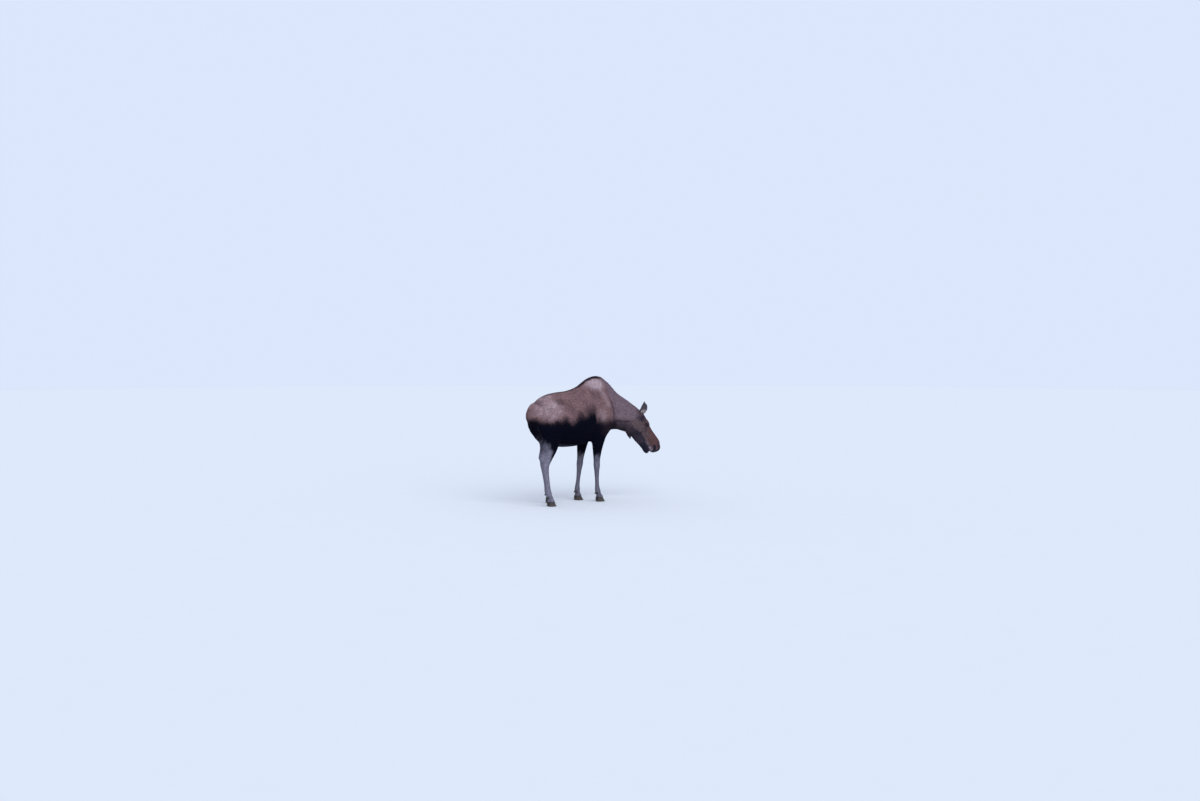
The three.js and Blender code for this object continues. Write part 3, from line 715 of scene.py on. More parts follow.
def eye_frame(q, side):
    """Points about an eye's middle: forward, up and out, with the eye's slant taken off."""
    local = mirrored(q, side) - np.array(EYE_PLACE)
    forward = local[:, 0] * math.cos(EYE_SLANT) - local[:, 2] * math.sin(EYE_SLANT)
    up = local[:, 0] * math.sin(EYE_SLANT) + local[:, 2] * math.cos(EYE_SLANT)
    return forward, up, local[:, 1]


def lid_edge(forward, up):
    """How far inside the opening between the lids a place lies; negative on the lids."""
    height = OPENING_HEIGHT * (1 - (forward / OPENING_LENGTH) ** 2)
    return height - np.abs(up + 0.5)


def on_the_eye(q, side):
    """Where points lie about an eye: from its middle, outwards, inside its opening, and up on it."""
    forward, up, out = eye_frame(q, side)
    radius = np.sqrt(forward ** 2 + up ** 2 + out ** 2)
    scale = EYE_RADIUS / np.maximum(radius, 1)
    return radius, out, lid_edge(forward * scale, up * scale), up * scale


def with_lids(p):
    """Lays the skin over the eyeballs as lids, and sinks it inside them where they are open."""
    q = to_head(p)
    for _, side in SIDES:
        radius, out, edge, up = on_the_eye(q, side)
        rim = 1.3 * np.exp(-((edge + 1.6) / 1.5) ** 2) + 1.2 * ramp(2, 14, up)
        lid = (LID_RADIUS + rim) * ramp(1.0, -1.0, edge) + 16 * ramp(-1.0, 1.0, edge)
        facing = ramp(-0.1, 0.35, out / np.maximum(radius, 1)) * (radius < 50)
        wanted = -smooth_union(-radius, -lid, 11)
        grown = np.where(radius < LID_RADIUS + 14, wanted, radius)
        ratio = 1 + (grown / np.maximum(radius, 1) - 1) * facing
        centre = eye_centre(side)
        q = centre + (q - centre) * ratio[:, None]
    return from_head(q)


def lid_margin(p):
    """How far inside the open eye, or within a few millimetres of its rim, places lie."""
    q = to_head(p)
    found = np.full(len(p), OFF_THE_EYE)
    for _, side in SIDES:
        radius, out, edge, _ = on_the_eye(q, side)
        found = np.maximum(found, np.where((radius < 34) & (out > 0), edge, OFF_THE_EYE))
    return found


def eye_distance(p):
    q = to_head(p)
    found = [np.linalg.norm(q - eye_centre(side), axis=1) for _, side in SIDES]
    return np.minimum(*found)


def eased(points, faces):
    """Takes the ripples off a surface: each point goes towards its neighbours, then back a little."""
    sizes = np.array([len(face) for face in faces])
    ends = np.cumsum(sizes)
    here = np.fromiter((n for face in faces for n in face), np.int64, ends[-1])
    following = np.roll(here, -1)
    following[ends - 1] = here[ends - sizes]
    a, b = np.concatenate([here, following]), np.concatenate([following, here])
    share = 1 / np.bincount(a, minlength=len(points))
    for _ in range(EASING_ROUNDS):
        for step in (0.5, -0.51):
            mean = np.stack([np.bincount(a, points[b, k], len(points)) * share for k in range(3)], axis=1)
            points = points + step * (mean - points)
    return points


def skin_surface(grid):
    """The skin's points and faces: finer on the head and the lower legs, finest round the eyes."""
    points, quads = surface_of(grid)
    faces = [tuple(face) for face in quads.tolist()]
    centres = face_centres(points, faces)
    points, faces = refined(points, faces, head_share(centres) > 0.25, 2)
    centres = face_centres(points, faces)
    points, faces = refined(points, faces, centres[:, 2] < 600, 1)
    centres = face_centres(points, faces)
    points, faces = refined(points, faces, eye_distance(centres) < 30, 2)
    points, out = settle(points, skin_field, 0.6 * SKIN_STEP)
    points = eased(points, faces)
    points = points + out * relief(points)[:, None]
    return with_lids(points), faces


# ---- Places along the legs ------------------------------------------------------------------------
LEGS = [(f"{end}leg_{name}", rows, stance, side)
        for end, rows, stance in (("fore", FORELEG, fore_stance), ("hind", HINDLEG, hind_stance))
        for name, side in SIDES]


def leg_middle(rows, stance, side, z):
    """The middle of a leg and its half depth at a height."""
    line = smooth_rows(leg_stations(rows, stance, side), SPAN_STEPS)[::-1]
    return [np.interp(z, line[:, 2], line[:, k]) for k in (0, 1, 3)]


def oval(around):
    return 2 * math.pi * np.arange(around) / around


def lofted(rings):
    """Points and faces of a closed form through rings of points, with a flat cap at each end."""
    rings = np.array(rings)
    count, around = rings.shape[:2]
    faces = []
    for n in range(count - 1):
        for k in range(around):
            a, b = n * around + k, n * around + (k + 1) % around
            faces.append((a, b, b + around, a + around))
    faces.append(tuple(range(around))[::-1])
    faces.append(tuple((count - 1) * around + k for k in range(around)))
    return rings.reshape(-1, 3), faces


# ---- Ears, in the head's frame ---------------------------------------------------------------------
EARS = {
    "right": dict(root=(104, -58, -8), along=(-0.66, -0.52, 0.42), mouth=(0.35, -0.9, 0.3)),
    "left": dict(root=(104, 58, -8), along=(-0.2, 0.5, 0.8), mouth=(0.8, 0.6, 0.2)),
}
# Rings up an ear as (share of its length, share of its half width, depth of the cup).
EAR_RINGS = [(0, 0.50, 22), (0.12, 0.66, 27), (0.28, 0.92, 26), (0.46, 1, 21),
             (0.64, 0.86, 15), (0.80, 0.58, 9), (0.92, 0.28, 4), (1, 0.05, 1)]
EAR_WALL = 9
EAR_COAT = 2.5
EAR_STEPS = 5


def unit(vector):
    vector = np.array(vector, float)
    return vector / np.linalg.norm(vector)


def ear_axes(ear):
    up = unit(ear["along"])
    front = np.array(ear["mouth"], float)
    front = unit(front - front @ up * up)
    return up, front, np.cross(front, up)


def ear_surface(ear):
    """The skin of an ear: a cup with a thin wall. Gives points, faces and which points are inside."""
    up, front, across = ear_axes(ear)
    rings, inner = [], []
    back = np.radians(np.linspace(-90, 90, 25))
    hollow = np.radians(np.linspace(78, -78, 17))
    for share, width, cup in smooth_rows(EAR_RINGS, EAR_STEPS):
        half = max(EAR_HALF_WIDTH * width - EAR_COAT, 1.5)
        wall = max(EAR_WALL * (1 - 0.7 * share) - 1.6 * EAR_COAT, 1.2)
        outer = [(half * math.sin(turn), cup - (cup + wall) * math.cos(turn)) for turn in back]
        lining = [(0.95 * half * math.sin(turn), cup - cup * math.cos(turn)) for turn in hollow]
        level = np.array(ear["root"]) + up * share * (EAR_LENGTH - 3)
        rings.append([level + across * x + front * z for x, z in outer + lining])
        inner += [0] * len(outer) + [1] * len(lining)
    points, faces = lofted(rings)
    return from_head(points), faces, np.array(inner)


# ---- The lie of the coat ---------------------------------------------------------------------------
def neck_share(p):
    return ramp(90, 230, p[:, 0] + 0.12 * (p[:, 2] - 1300)) * (1 - head_share(p))


def leg_share(p):
    return ramp(1080, 780, p[:, 2]) * (1 - head_share(p)) * ramp(560, 480, p[:, 0])


def lie_of_coat(p):
    """The way the hair points, before it is laid on the surface."""
    head = unit((-1, 0, -0.22)) @ HEAD_AXES.T
    shares = [head_share(p), neck_share(p), leg_share(p)]
    ways = [head, unit((-0.9, 0.22, -0.3)), unit((-0.2, 0, -1))]
    rest = np.maximum(1 - sum(shares), 0)
    way = rest[:, None] * unit((-1, 0, -0.5))
    for share, direction in zip(shares, ways):
        way = way + share[:, None] * direction
    belly = ramp(960, 840, p[:, 2]) * ramp(-700, -600, p[:, 0]) * ramp(-150, -260, p[:, 0])
    way = way + belly[:, None] * np.array([-0.7, 0, 0.3])
    return way / np.linalg.norm(way, axis=1)[:, None]


def wobble(p, size, seed):
    """A soft, uneven wave between -1 and 1, for edges and patches that aren't ruled."""
    turns = np.random.default_rng(seed).uniform(-1, 1, (6, 3))
    found = np.zeros(len(p))
    for n, way in enumerate(turns):
        found += np.sin(p @ (way / np.linalg.norm(way)) * (2 * math.pi / size) * (0.7 + 0.25 * n) + 2.1 * n)
    return found / 3.2


def patch(p, centre, sizes):
    """1 at the middle of an oval patch, 0 outside it. Sizes are the half lengths in x and z."""
    reach = np.hypot((p[:, 0] - centre[0]) / sizes[0], (p[:, 2] - centre[1]) / sizes[1])
    return ramp(1.15, 0.35, reach)


def along_table(x, table):
    """The second column of a table at places along its first."""
    table = np.array(table, float)
    return np.interp(x, table[:, 0], table[:, 1])


# Where the brown of the sides turns black below, as (x, height), along the body.
BLACK_EDGE = [(-1200, 1192), (-1050, 1184), (-850, 1184), (-700, 1172), (-620, 1112), (-560, 1128),
              (-510, 1184), (-440, 1206), (-300, 1228), (-230, 1272), (-195, 1268), (-170, 1136),
              (-60, 1114), (60, 1114), (170, 1138), (330, 1055), (487, 1000), (640, 920)]
# Lines of the sides, as (x, height). Painted shade runs along the groove behind the shoulder, the neck's
# fold and the foot of the neck; painted highlights run along the hip bone and the thigh's ridge.
SHOULDER_GROOVE_SHADE = [(-195, 1400), (-205, 1200), (-190, 1000)]
NECK_CREASE = [(145, 1182), (487, 1126)]
THROAT_FOLD_SHADE = [(190, 1158), (330, 1142), (500, 1118)]
NECK_FOOT_SHADE = [(105, 1540), (158, 1400), (190, 1270), (190, 1130)]
HUMP_STREAK = [(-110, 1710), (-20, 1600), (40, 1490), (70, 1390)]
HIP_BONE = [(-1050, 1462), (-950, 1490), (-850, 1532)]
THIGH_RIDGE = [(-1080, 1365), (-985, 1290), (-885, 1235)]


def leg_markings(p):
    """The share of leg grey, and how far behind the middle of its hind leg each place lies."""
    x, z = p[:, 0], p[:, 2]
    grey, behind = np.zeros(len(p)), np.zeros(len(p))
    heights = np.arange(0, 1301, 25.0)
    for name, rows, stance, side in LEGS:
        middle = np.array([leg_middle(rows, stance, side, h) for h in heights])
        mine = ramp(-20, 30, p[:, 1] * side)
        if name.startswith("hind"):
            ahead = (x - np.interp(z, heights, middle[:, 0])) / np.interp(z, heights, middle[:, 2])
            mine = mine * ramp(-430, -520, x)
            behind = np.where(mine > 0.5, ahead, behind)
            edge = 760 - 150 * np.clip(ahead, -1, 1) + 24 * wobble(p, 120, 5)
            inner = ramp(160, 105, np.abs(p[:, 1])) * ramp(1010, 880, z) * ramp(-380, -470, x)
            grey = np.maximum(grey, mine * 0.14 * inner)
        else:
            mine = mine * ramp(-430, -380, x) * ramp(300, 250, x)
            mine = mine * 0.7
            edge = 655 + 26 * wobble(p, 110, 6)
        grey = np.maximum(grey, mine * ramp(edge + 65, edge - 65, z))
    tendon_edge = ramp(-0.35, -0.85, behind) * ramp(690, 790, z) * ramp(-600, -700, x)
    return grey * (1 - 0.5 * tendon_edge)


def pale_hair_and_highlights(p):
    """The share of pale hair: on the hump, down the shoulder, and over the rump and the hip. Along the hip
    bone and the thigh's ridge the pale is a painted highlight.
    """
    away = np.abs(p[:, 1])
    hump = 0.45 * patch(p, (-60, 1680), (180, 110)) * ramp(20, 50, away + 0.3 * np.maximum(p[:, 0], 0))
    streak = 0.17 * ramp(72, 5, side_distance(p, HUMP_STREAK))
    shoulder = 0.14 * patch(p, (-60, 1230), (110, 130))
    rump = patch(p, (-930, 1340), (260, 190)) * (0.19 + 0.1 * wobble(p, 110, 7))
    haunch = 0.33 * patch(p, (-865, 1400), (90, 75))
    # Painted highlights: paler along the ridge of the thigh and along the hip bone, where light catches
    # them.
    ridge = 0.2 * ramp(80, 10, side_distance(p, THIGH_RIDGE))
    hip_bone_highlight = 0.24 * ramp(48, 8, side_distance(p, HIP_BONE))
    return np.maximum.reduce([hump, streak, shoulder, rump, haunch, ridge, hip_bone_highlight]) * (1 - head_share(p))


def coat_markings_and_shade(p):
    """Shares of black, pale and leg grey at places on the body, then the region: trunk, neck, head. The
    black share also holds painted shade behind the shoulder, along the neck's folds and in the hollows, and
    the pale share holds painted highlights on the hip bone and the thigh's ridge.
    """
    x, z = p[:, 0], p[:, 2]
    edge = along_table(x, BLACK_EDGE) + 22 * wobble(p, 260, 3) + 9 * wobble(p, 60, 4)
    fade = 70 + 60 * ramp(-900, -650, x)
    lower = 1 - (1 - ramp(edge + fade, edge - 66, z)) ** 1.9
    brisket = ramp(-150, 50, x) * ramp(880, 1040, z)
    lower = lower * (1 - 0.07 * brisket)
    # Painted shade behind the shoulder and elbow: the ribs darken towards the black below.
    shade_behind_shoulder = ramp(-480, -330, x) * ramp(-165, -200, x)
    shade_behind_shoulder = 0.76 * ramp(edge + 210, edge, z) * shade_behind_shoulder
    # Painted shade along the groove carved behind the shoulder.
    shoulder = ramp(70, 12, side_distance(p, SHOULDER_GROOVE_SHADE)) * ramp(1430, 1330, z)
    # Painted shade: the neck is darker below the fold that runs along it.
    crease_height = along_table(x, NECK_CREASE)
    shade_under_neck = ramp(crease_height + 40, crease_height - 60, z) * ramp(110, 190, x)
    # Painted shade: a dark line along the fold down the neck.
    throat_fold_shade = ramp(46, 4, side_distance(p, THROAT_FOLD_SHADE))
    # Painted shade in the crease where the neck meets the shoulder.
    fold = ramp(58, 5, side_distance(p, NECK_FOOT_SHADE)) * ramp(1560, 1300, z)
    # Painted shade in the hollows carved before and behind the hip bone.
    hollow_shade = np.maximum(patch(p, (-1035, 1430), (70, 58)), patch(p, (-745, 1442), (80, 50)))
    black = np.maximum.reduce([lower, shade_behind_shoulder, 0.5 * shoulder, 0.7 * shade_under_neck, 0.76 * throat_fold_shade,
                               0.96 * ramp(26, 8, bell_mass(p)), 0.5 * fold, 0.36 * hollow_shade])
    spine = ramp(52, 24, np.abs(p[:, 1])) * ramp(1480, 1540, z) * ramp(150, 20, x) * ramp(-1050, -900, x)
    spine = spine * (0.5 + 0.42 * ramp(-420, -200, x))
    belly = ramp(1000, 960, z) * ramp(300, 250, x) * ramp(640, 700, z)
    black = np.maximum.reduce([black * (1 - head_share(p)), spine, belly])
    region = 0.5 * neck_share(p) + head_share(p)
    return np.stack([black, pale_hair_and_highlights(p) * (1 - spine), leg_markings(p), region], axis=1)


JAW_TOP = [(150, -222), (240, -200), (300, -162), (350, -130), (446, -124), (510, -128), (560, -95),
           (700, -115)]


def face_markings_and_highlight(p):
    """Shares of red-brown, pale grey, black and bare skin on the head. The grey also holds a small painted
    highlight on the muzzle's end.
    """
    q = to_head(p)
    away = np.abs(q[:, 1])
    s = np.stack([q[:, 0], away, q[:, 2]], axis=1)
    nostril = side_distance(s, NOSTRIL) + 40 * ramp(24, 14, away)
    mouth = side_distance(s, MOUTH)
    bridge = ramp(300, 420, q[:, 0]) * ramp(-80, 0, q[:, 2])
    cheek_side = ramp(400, 520, q[:, 0]) * ramp(-140, -80, q[:, 2])
    warm = np.maximum(0.95 * bridge, 0.9 * cheek_side) * (0.85 + 0.15 * wobble(p, 60, 9))
    forehead = ramp(60, 150, q[:, 0]) * ramp(-110, -40, q[:, 2])
    warm = np.maximum(warm, 0.42 * forehead)
    below = side_distance(s, [(688, -110), (655, -120), (605, -126)])
    corner = side_distance(s, [(560, -122), (525, -140), (500, -156)])
    # Painted highlight: a pale grey line on the muzzle's end above the nostril, where light catches it.
    lit = side_distance(s, [(668, -50), (686, -66)])
    grey = np.maximum(0.8 * ramp(30, 6, below), 0.32 * ramp(34, 4, corner)) * ramp(10, 25, away)
    grey = np.maximum(grey, 0.34 * ramp(20, 5, lit) * ramp(30, 45, away))
    chin = ramp(-142, -166, q[:, 2]) * ramp(380, 520, q[:, 0])
    jaw_top = along_table(q[:, 0], JAW_TOP)
    firm = ramp(580, 500, q[:, 0])
    jaw = ramp(jaw_top + 35 - 15 * firm, jaw_top - 65 + 35 * firm, q[:, 2])
    jaw = jaw * (0.74 + 0.06 * firm + 0.06 * wobble(p, 190, 8))
    jaw = jaw * (1 - ramp(560, 610, q[:, 0]) * ramp(-150, -138, q[:, 2]))
    nose_end = 0.88 * ramp(640, 702, q[:, 0]) * ramp(-125, -80, q[:, 2])
    nose_end = np.maximum(nose_end, 0.6 * ramp(575, 640, q[:, 0]) * ramp(-42, -10, q[:, 2]))
    rim = 0.9 * ramp(34, 10, nostril)
    ring = 0.7 * ramp(38, 24, eye_distance(p))
    tear = 0.4 * ramp(20, 6, side_distance(s, [(318, -48), (350, -70), (372, -84)])) * ramp(20, 40, away)
    ear_foot = 0.85 * ramp(98, 25, path_distance(s, [(60, 70, -60), (118, 76, -50), (160, 74, -30)]))
    dark = np.maximum.reduce([chin, jaw, ring, tear, ear_foot, rim, nose_end])
    margin = ramp(-2.6, -1.2, lid_margin(p))
    wide = ramp(640, 668, q[:, 0])
    nostril_rim = ramp(8 + 5 * wide, 4 + 5 * wide, nostril)
    lips = ramp(6, 3, mouth) * ramp(430, 460, q[:, 0])
    pad = ramp(668, 684, q[:, 0]) * ramp(24, 14, away) * ramp(-130, -112, q[:, 2]) * ramp(-62, -78, q[:, 2])
    bare = np.maximum.reduce([nostril_rim, lips, margin, pad])
    return np.stack([warm, grey, dark, bare], axis=1) * head_share(p)[:, None]


# ---- The coat: locks of hair laid over the skin ----------------------------------------------------
LOCK_BUDGET = 150000
MOST_IN_PIECE = 19800
UV_PATCH = 0.003
WALK_CELL = 6.0              # scattering visits the surface in cells of this size
TAIL_TUFT_TOP = 1350         # above this the tail's hair lies as the rump's does
TRIM_HAIR = 46
EAR_LOCKS = 2600
LASH_COUNT = 54
LASH_LENGTH = 7.5
LASH_WIDTH = 0.8
LASH_DROOP = -3.0
LOCK_LENGTHS = [(2.5, 10), (4, 17), (5.5, 24), (9.5, 50), (13, 58)]        # by the depth of the coat
LOCK_WIDTHS = [(2.5, 2.2), (4, 3.2), (5.5, 4.2), (9.5, 8.2), (13, 8.8)]
LOCK_POINTS = 7
LOCK_MIDDLE = 0.45           # where along a lock its middle lies
MIDDLE_RISE = 0.74           # how high in the coat the middle and the tip lie
TIP_RISE = 0.85
LOCK_THICKNESS = 0.22        # as a share of its width
ROOT_DEPTH = 1.5
MOST_GROUND = 14
MOST_MOVE = 40
LOCK_ROUNDNESS = 0.55        # how far a lock's edges are shaded as turned to the side
LOCK_FACES = np.array([
    (0, 2, 1),
    (0, 1, 4), (0, 4, 3),
    (1, 2, 5), (1, 5, 4),
    (2, 0, 3), (2, 3, 5),
    (3, 4, 6), (4, 5, 6), (5, 3, 6),
])


def lock_size(p):
    """Length and width of a lock at places on the body."""
    depth = coat_depth(p)
    length = along_table(depth, LOCK_LENGTHS)
    crest = ramp(60, 20, np.abs(p[:, 1])) * ramp(1600, 1680, p[:, 2]) * ramp(-330, -200, p[:, 0])
    length = length + 12 * crest + 12 * neck_share(p)
    tail_root = ramp(110, 50, path_distance(p, [(-1040, 0, 1450), (-1105, 0, 1390)]))
    length = length * (1 - 0.42 * tail_root)
    return length, along_table(depth, LOCK_WIDTHS)


def locks(roots, out, way, length, width, lift, surface, seed):
    """Locks as points (each 7: root triangle, middle triangle, tip) and their random numbers."""
    chance = np.random.default_rng(seed)
    count = len(roots)
    height_of, ground_of = surface
    swing = np.radians(chance.normal(0, 9, count)) + 0.2 * wobble(roots, 70, seed)
    way = way - (way * out).sum(axis=1)[:, None] * out
    way = way / np.maximum(np.linalg.norm(way, axis=1), 1e-6)[:, None]
    across = np.cross(out, way)
    way = way * np.cos(swing)[:, None] + across * np.sin(swing)[:, None]
    across = np.cross(out, way)
    length = length * chance.uniform(0.7, 1.15, count)
    bend = chance.normal(0, 0.07, count)
    middle = roots + way * (LOCK_MIDDLE * length)[:, None] + across * (bend * length)[:, None]
    tip = roots + way * length[:, None] - across * (bend * length * 0.6)[:, None]
    rise = chance.uniform(0.74, 0.97, count)
    ground = ground_of(roots)
    middle = height_of(middle, out, ground + lift * MIDDLE_RISE * rise)
    tip = height_of(tip, out, ground + lift * TIP_RISE * rise)
    root = roots - ROOT_DEPTH * out
    thick = LOCK_THICKNESS * width
    rows = []
    for centre, spread, high, sunk in ((root, 0.5, 0.8, 0), (middle, 0.58, 1.0, 0.14)):
        low = centre - out * (sunk * lift)[:, None]
        rows.append(low - across * (spread * width)[:, None])
        rows.append(low + across * (spread * width)[:, None])
        rows.append(centre + out * (high * thick)[:, None])
    rows.append(tip)
    points = np.stack(rows, axis=1).reshape(-1, 3)
    left, right = out - LOCK_ROUNDNESS * across, out + LOCK_ROUNDNESS * across
    facing = np.stack([left, right, out, left, right, out, out], axis=1).reshape(-1, 3)
    return points, facing, np.stack([chance.random(count), chance.random(count)], axis=1)


def lay_on(grid):
    """Functions that put points at wanted heights over the skin, and give the height of places on it."""
    def height_over(points):
        return grid.at(points) - relief(points)

    def ground_of(points):
        return np.clip(height_over(points), -MOST_GROUND, MOST_GROUND)

    def height_of(points, _, wanted):
        slope = grid.slope(points)
        steep = np.maximum((slope ** 2).sum(axis=1), 0.3)
        move = np.clip((wanted - height_over(points)) / steep, -MOST_MOVE, MOST_MOVE)
        return points + slope * move[:, None]
    return height_of, ground_of


def beside(points, out, wanted):
    return points + out * wanted[:, None]


FLAT = (beside, lambda points: np.zeros(len(points)))        # for a nearly flat surface: straight out


def placed(name, data):
    """A new thing in the scene, made of a mesh, a light or a camera."""
    made = bpy.data.objects.new(name, data)
    bpy.context.scene.collection.objects.link(made)
    return made


def smooth(mesh):
    mesh.polygons.foreach_set("use_smooth", np.ones(len(mesh.polygons), bool))


def make_mesh(name, points, faces):
    """A smooth piece from points in the body's own frame."""
    mesh = mesh_of(name, (points + ORIGIN) * TO_METRES, faces)
    smooth(mesh)
    return placed(name, mesh)


def set_values(mesh, name, values):
    kind = "FLOAT_COLOR" if values.shape[1] == 4 else "FLOAT_VECTOR"
    layer = mesh.attributes.new(name, kind, "POINT")
    layer.data.foreach_set("color" if kind == "FLOAT_COLOR" else "vector",
                           np.ascontiguousarray(values, np.float32).ravel())


def make_coat(name, points, facing, randoms, roots, places, lining):
    """One piece of the coat, with its markings, its random shades and its UV map."""
    count = len(roots)
    faces = (LOCK_FACES[None] + LOCK_POINTS * np.arange(count)[:, None, None]).reshape(-1, 3)
    mesh = bpy.data.meshes.new(name)
    mesh.vertices.add(len(points))
    mesh.vertices.foreach_set("co", ((points + ORIGIN) * TO_METRES).astype(np.float32).ravel())
    mesh.loops.add(faces.size)
    mesh.loops.foreach_set("vertex_index", faces.astype(np.int32).ravel())
    mesh.polygons.add(len(faces))
    mesh.polygons.foreach_set("loop_start", np.arange(0, faces.size, 3, dtype=np.int32))
    mesh.update(calc_edges=True)
    smooth(mesh)
    facing = facing / np.linalg.norm(facing, axis=1)[:, None]
    mesh.normals_split_custom_set_from_vertices(facing)
    set_values(mesh, "markings", np.repeat(coat_markings_and_shade(roots), LOCK_POINTS, axis=0))
    set_values(mesh, "face", np.repeat(face_markings_and_highlight(roots), LOCK_POINTS, axis=0))
    along = np.tile([0, 0, 0, 0.55, 0.55, 0.55, 1], count)
    shade, tint = np.repeat(randoms, LOCK_POINTS, axis=0).T
    set_values(mesh, "tuft", np.stack([shade, along, tint, np.repeat(lining, LOCK_POINTS)], axis=1))
    corner = np.array([(-1, 0), (1, 0), (0, 0), (-1, 1), (1, 1), (0, 1), (0, 2)]) * UV_PATCH / 2
    flat = np.repeat(places, LOCK_POINTS, axis=0) + np.tile(corner, (count, 1))
    layer = mesh.uv_layers.new(name="OFBake")
    layer.data.foreach_set("uv", flat[faces.ravel()].astype(np.float32).ravel())
    return placed(name, mesh)


def unrolled(p, axis_start, axis_end):
    """Places on a sheet wrapped round an axis: round it, and along it."""
    along = np.array(axis_end, float) - axis_start
    share = (p - axis_start) @ along / (along @ along)
    rest = p - axis_start - share[:, None] * along
    side = unit(np.cross(along, (0.1, 1, 0.2)))
    other = unit(np.cross(along, side))
    turn = np.arctan2(rest @ side, rest @ other) / (2 * math.pi) + 0.5
    return np.stack([0.02 + 0.95 * turn, 0.02 + 0.95 * np.clip(share, 0, 1)], axis=1)


def up_ear(points, ear):
    """How far up the ear places are, from 0 at its foot to 1 at its tip."""
    return (to_head(points) - np.array(ear["root"])) @ ear_axes(ear)[0] / EAR_LENGTH


def ear_paleness(lined, share):
    """The lining of the ear is pale near its foot, and dark above."""
    return lined * (0.04 + 0.96 * ramp(0.38, 0.12, share))


# ---- Building the skin and its coat ----------------------------------------------------------------
grid = Grid(skin_field, (-1260, -420, 40), (1010, 330, 1830), SKIN_STEP)
skin_points, skin_faces = skin_surface(grid)
ears = {side: ear_surface(EARS[side]) for side in EARS}


def triangles_of(faces):
    return np.array([(face[0], face[k], face[k + 1]) for face in faces for k in range(1, len(face) - 1)])


over_skin = lay_on(grid)


def nearby_order(middles):
    """An order that walks over the surface cell by cell, so that neighbours stay together."""
    cells = ((middles - middles.min(axis=0)) / WALK_CELL).astype(np.int64)
    walk = np.zeros(len(cells), np.int64)
    for bit in range(9):
        for axis in range(3):
            walk |= ((cells[:, axis] >> bit) & 1) << (3 * bit + axis)
    return np.argsort(walk, kind="stable")


def scattered(points, triangles, weights, count, seed):
    """Evenly spread places on triangles: where they are and the direction out."""
    chance = np.random.default_rng(seed)
    order = nearby_order(points[triangles].mean(axis=1))
    triangles, weights = triangles[order], weights[order]
    total = np.cumsum(weights)
    marks = (np.arange(count) + chance.uniform(0.2, 0.8, count)) * total[-1] / count
    found = np.minimum(np.searchsorted(total, marks), len(weights) - 1)
    chosen = triangles[found]
    inside = 1 - np.clip((total[found] - marks) / np.maximum(weights[found], 1e-12), 0, 1)
    far = np.sqrt(inside)
    turn = chance.random(count)
    u, v = far * (1 - turn), far * turn
    a, b, c = (points[chosen[:, k]] for k in range(3))
    out = np.cross(b - a, c - a)
    out /= np.maximum(np.linalg.norm(out, axis=1), 1e-9)[:, None]
    return a + u[:, None] * (b - a) + v[:, None] * (c - a), out


def areas(points, triangles):
    a, b, c = (points[triangles[:, k]] for k in range(3))
    return np.linalg.norm(np.cross(b - a, c - a), axis=1) / 2


FORE_START = -430
SHOULDER_START = -300
BARREL_START = -700

skin_triangles = triangles_of(skin_faces)
places = skin_points[skin_triangles].mean(axis=1)
lock_length, lock_width = lock_size(places)
on_body = 1 - head_share(places)
sparse = ramp(1000, 650, places[:, 2])
crowding = 1.45 + on_body * (2.95 - 3.1 * sparse) + 1.2 * neck_share(places)
crowding += 1.2 * ramp(1560, 1650, places[:, 2])
crowding *= 1 - 0.42 * coat_markings_and_shade(places)[:, 0] * on_body
bareness = face_markings_and_highlight(places)[:, 3]
weights = areas(skin_points, skin_triangles) / (lock_length * lock_width) * crowding
weights *= (bareness < 0.4) * (places[:, 2] > SKIN_END + 1)

tail_near = (tail_mass(places) < 4) & (places[:, 2] < TAIL_TUFT_TOP)
bell_near = bell_mass(places) < 4
on_head = head_share(places) > 0.5
on_neck = (neck_share(places) > 0.5) & ~on_head
on_legs = (leg_share(places) > 0.5) & ~on_head & ~on_neck
right = places[:, 1] < np.where(on_head | on_neck, -0.26 * places[:, 0], 0)
fore = places[:, 0] > FORE_START
# Each piece takes what the pieces before it have left.
REGIONS = {"coat_trims": (tail_near | bell_near, "neck_coat")}
for part, inside, slot in (
        ("head", on_head, "face_coat"),
        ("neck", on_neck, "neck_coat"),
        ("foreleg", on_legs & fore, "leg_coat"),
        ("hindleg", on_legs & ~fore, "dark_coat"),
        ("shoulder", places[:, 0] > SHOULDER_START, "upper_coat"),
        ("barrel", places[:, 0] > BARREL_START, "upper_coat"),
        ("rump", places[:, 0] <= BARREL_START, "upper_coat")):
    REGIONS[f"coat_{part}_right"] = (inside & right, slot)
    REGIONS[f"coat_{part}_left"] = (inside & ~right, slot)
# Where the sheet of each piece's UV map is wrapped, as the start and end of an axis.
AXES = {"head": (from_head((0, 0, -100)), from_head((680, 0, -60))),
        "neck": ((60, 0, 1330), (640, -140, 1080)),
        "trims": ((-1250, 0, 800), (700, 0, 1500)),
        "trunk": ((-1250, 0, 1200), (300, 0, 1250))}
LEG_AXIS_LENGTH = 1150.0


def axis_of(name, roots):
    if "leg" in name:
        middle = roots.mean(axis=0) * np.array([1, 1, 0])
        return middle, middle + np.array([0, 0, LEG_AXIS_LENGTH])
    key = name.split("_")[1]
    start, end = AXES.get(key, AXES["trunk"])
    return np.array(start, float), np.array(end, float)


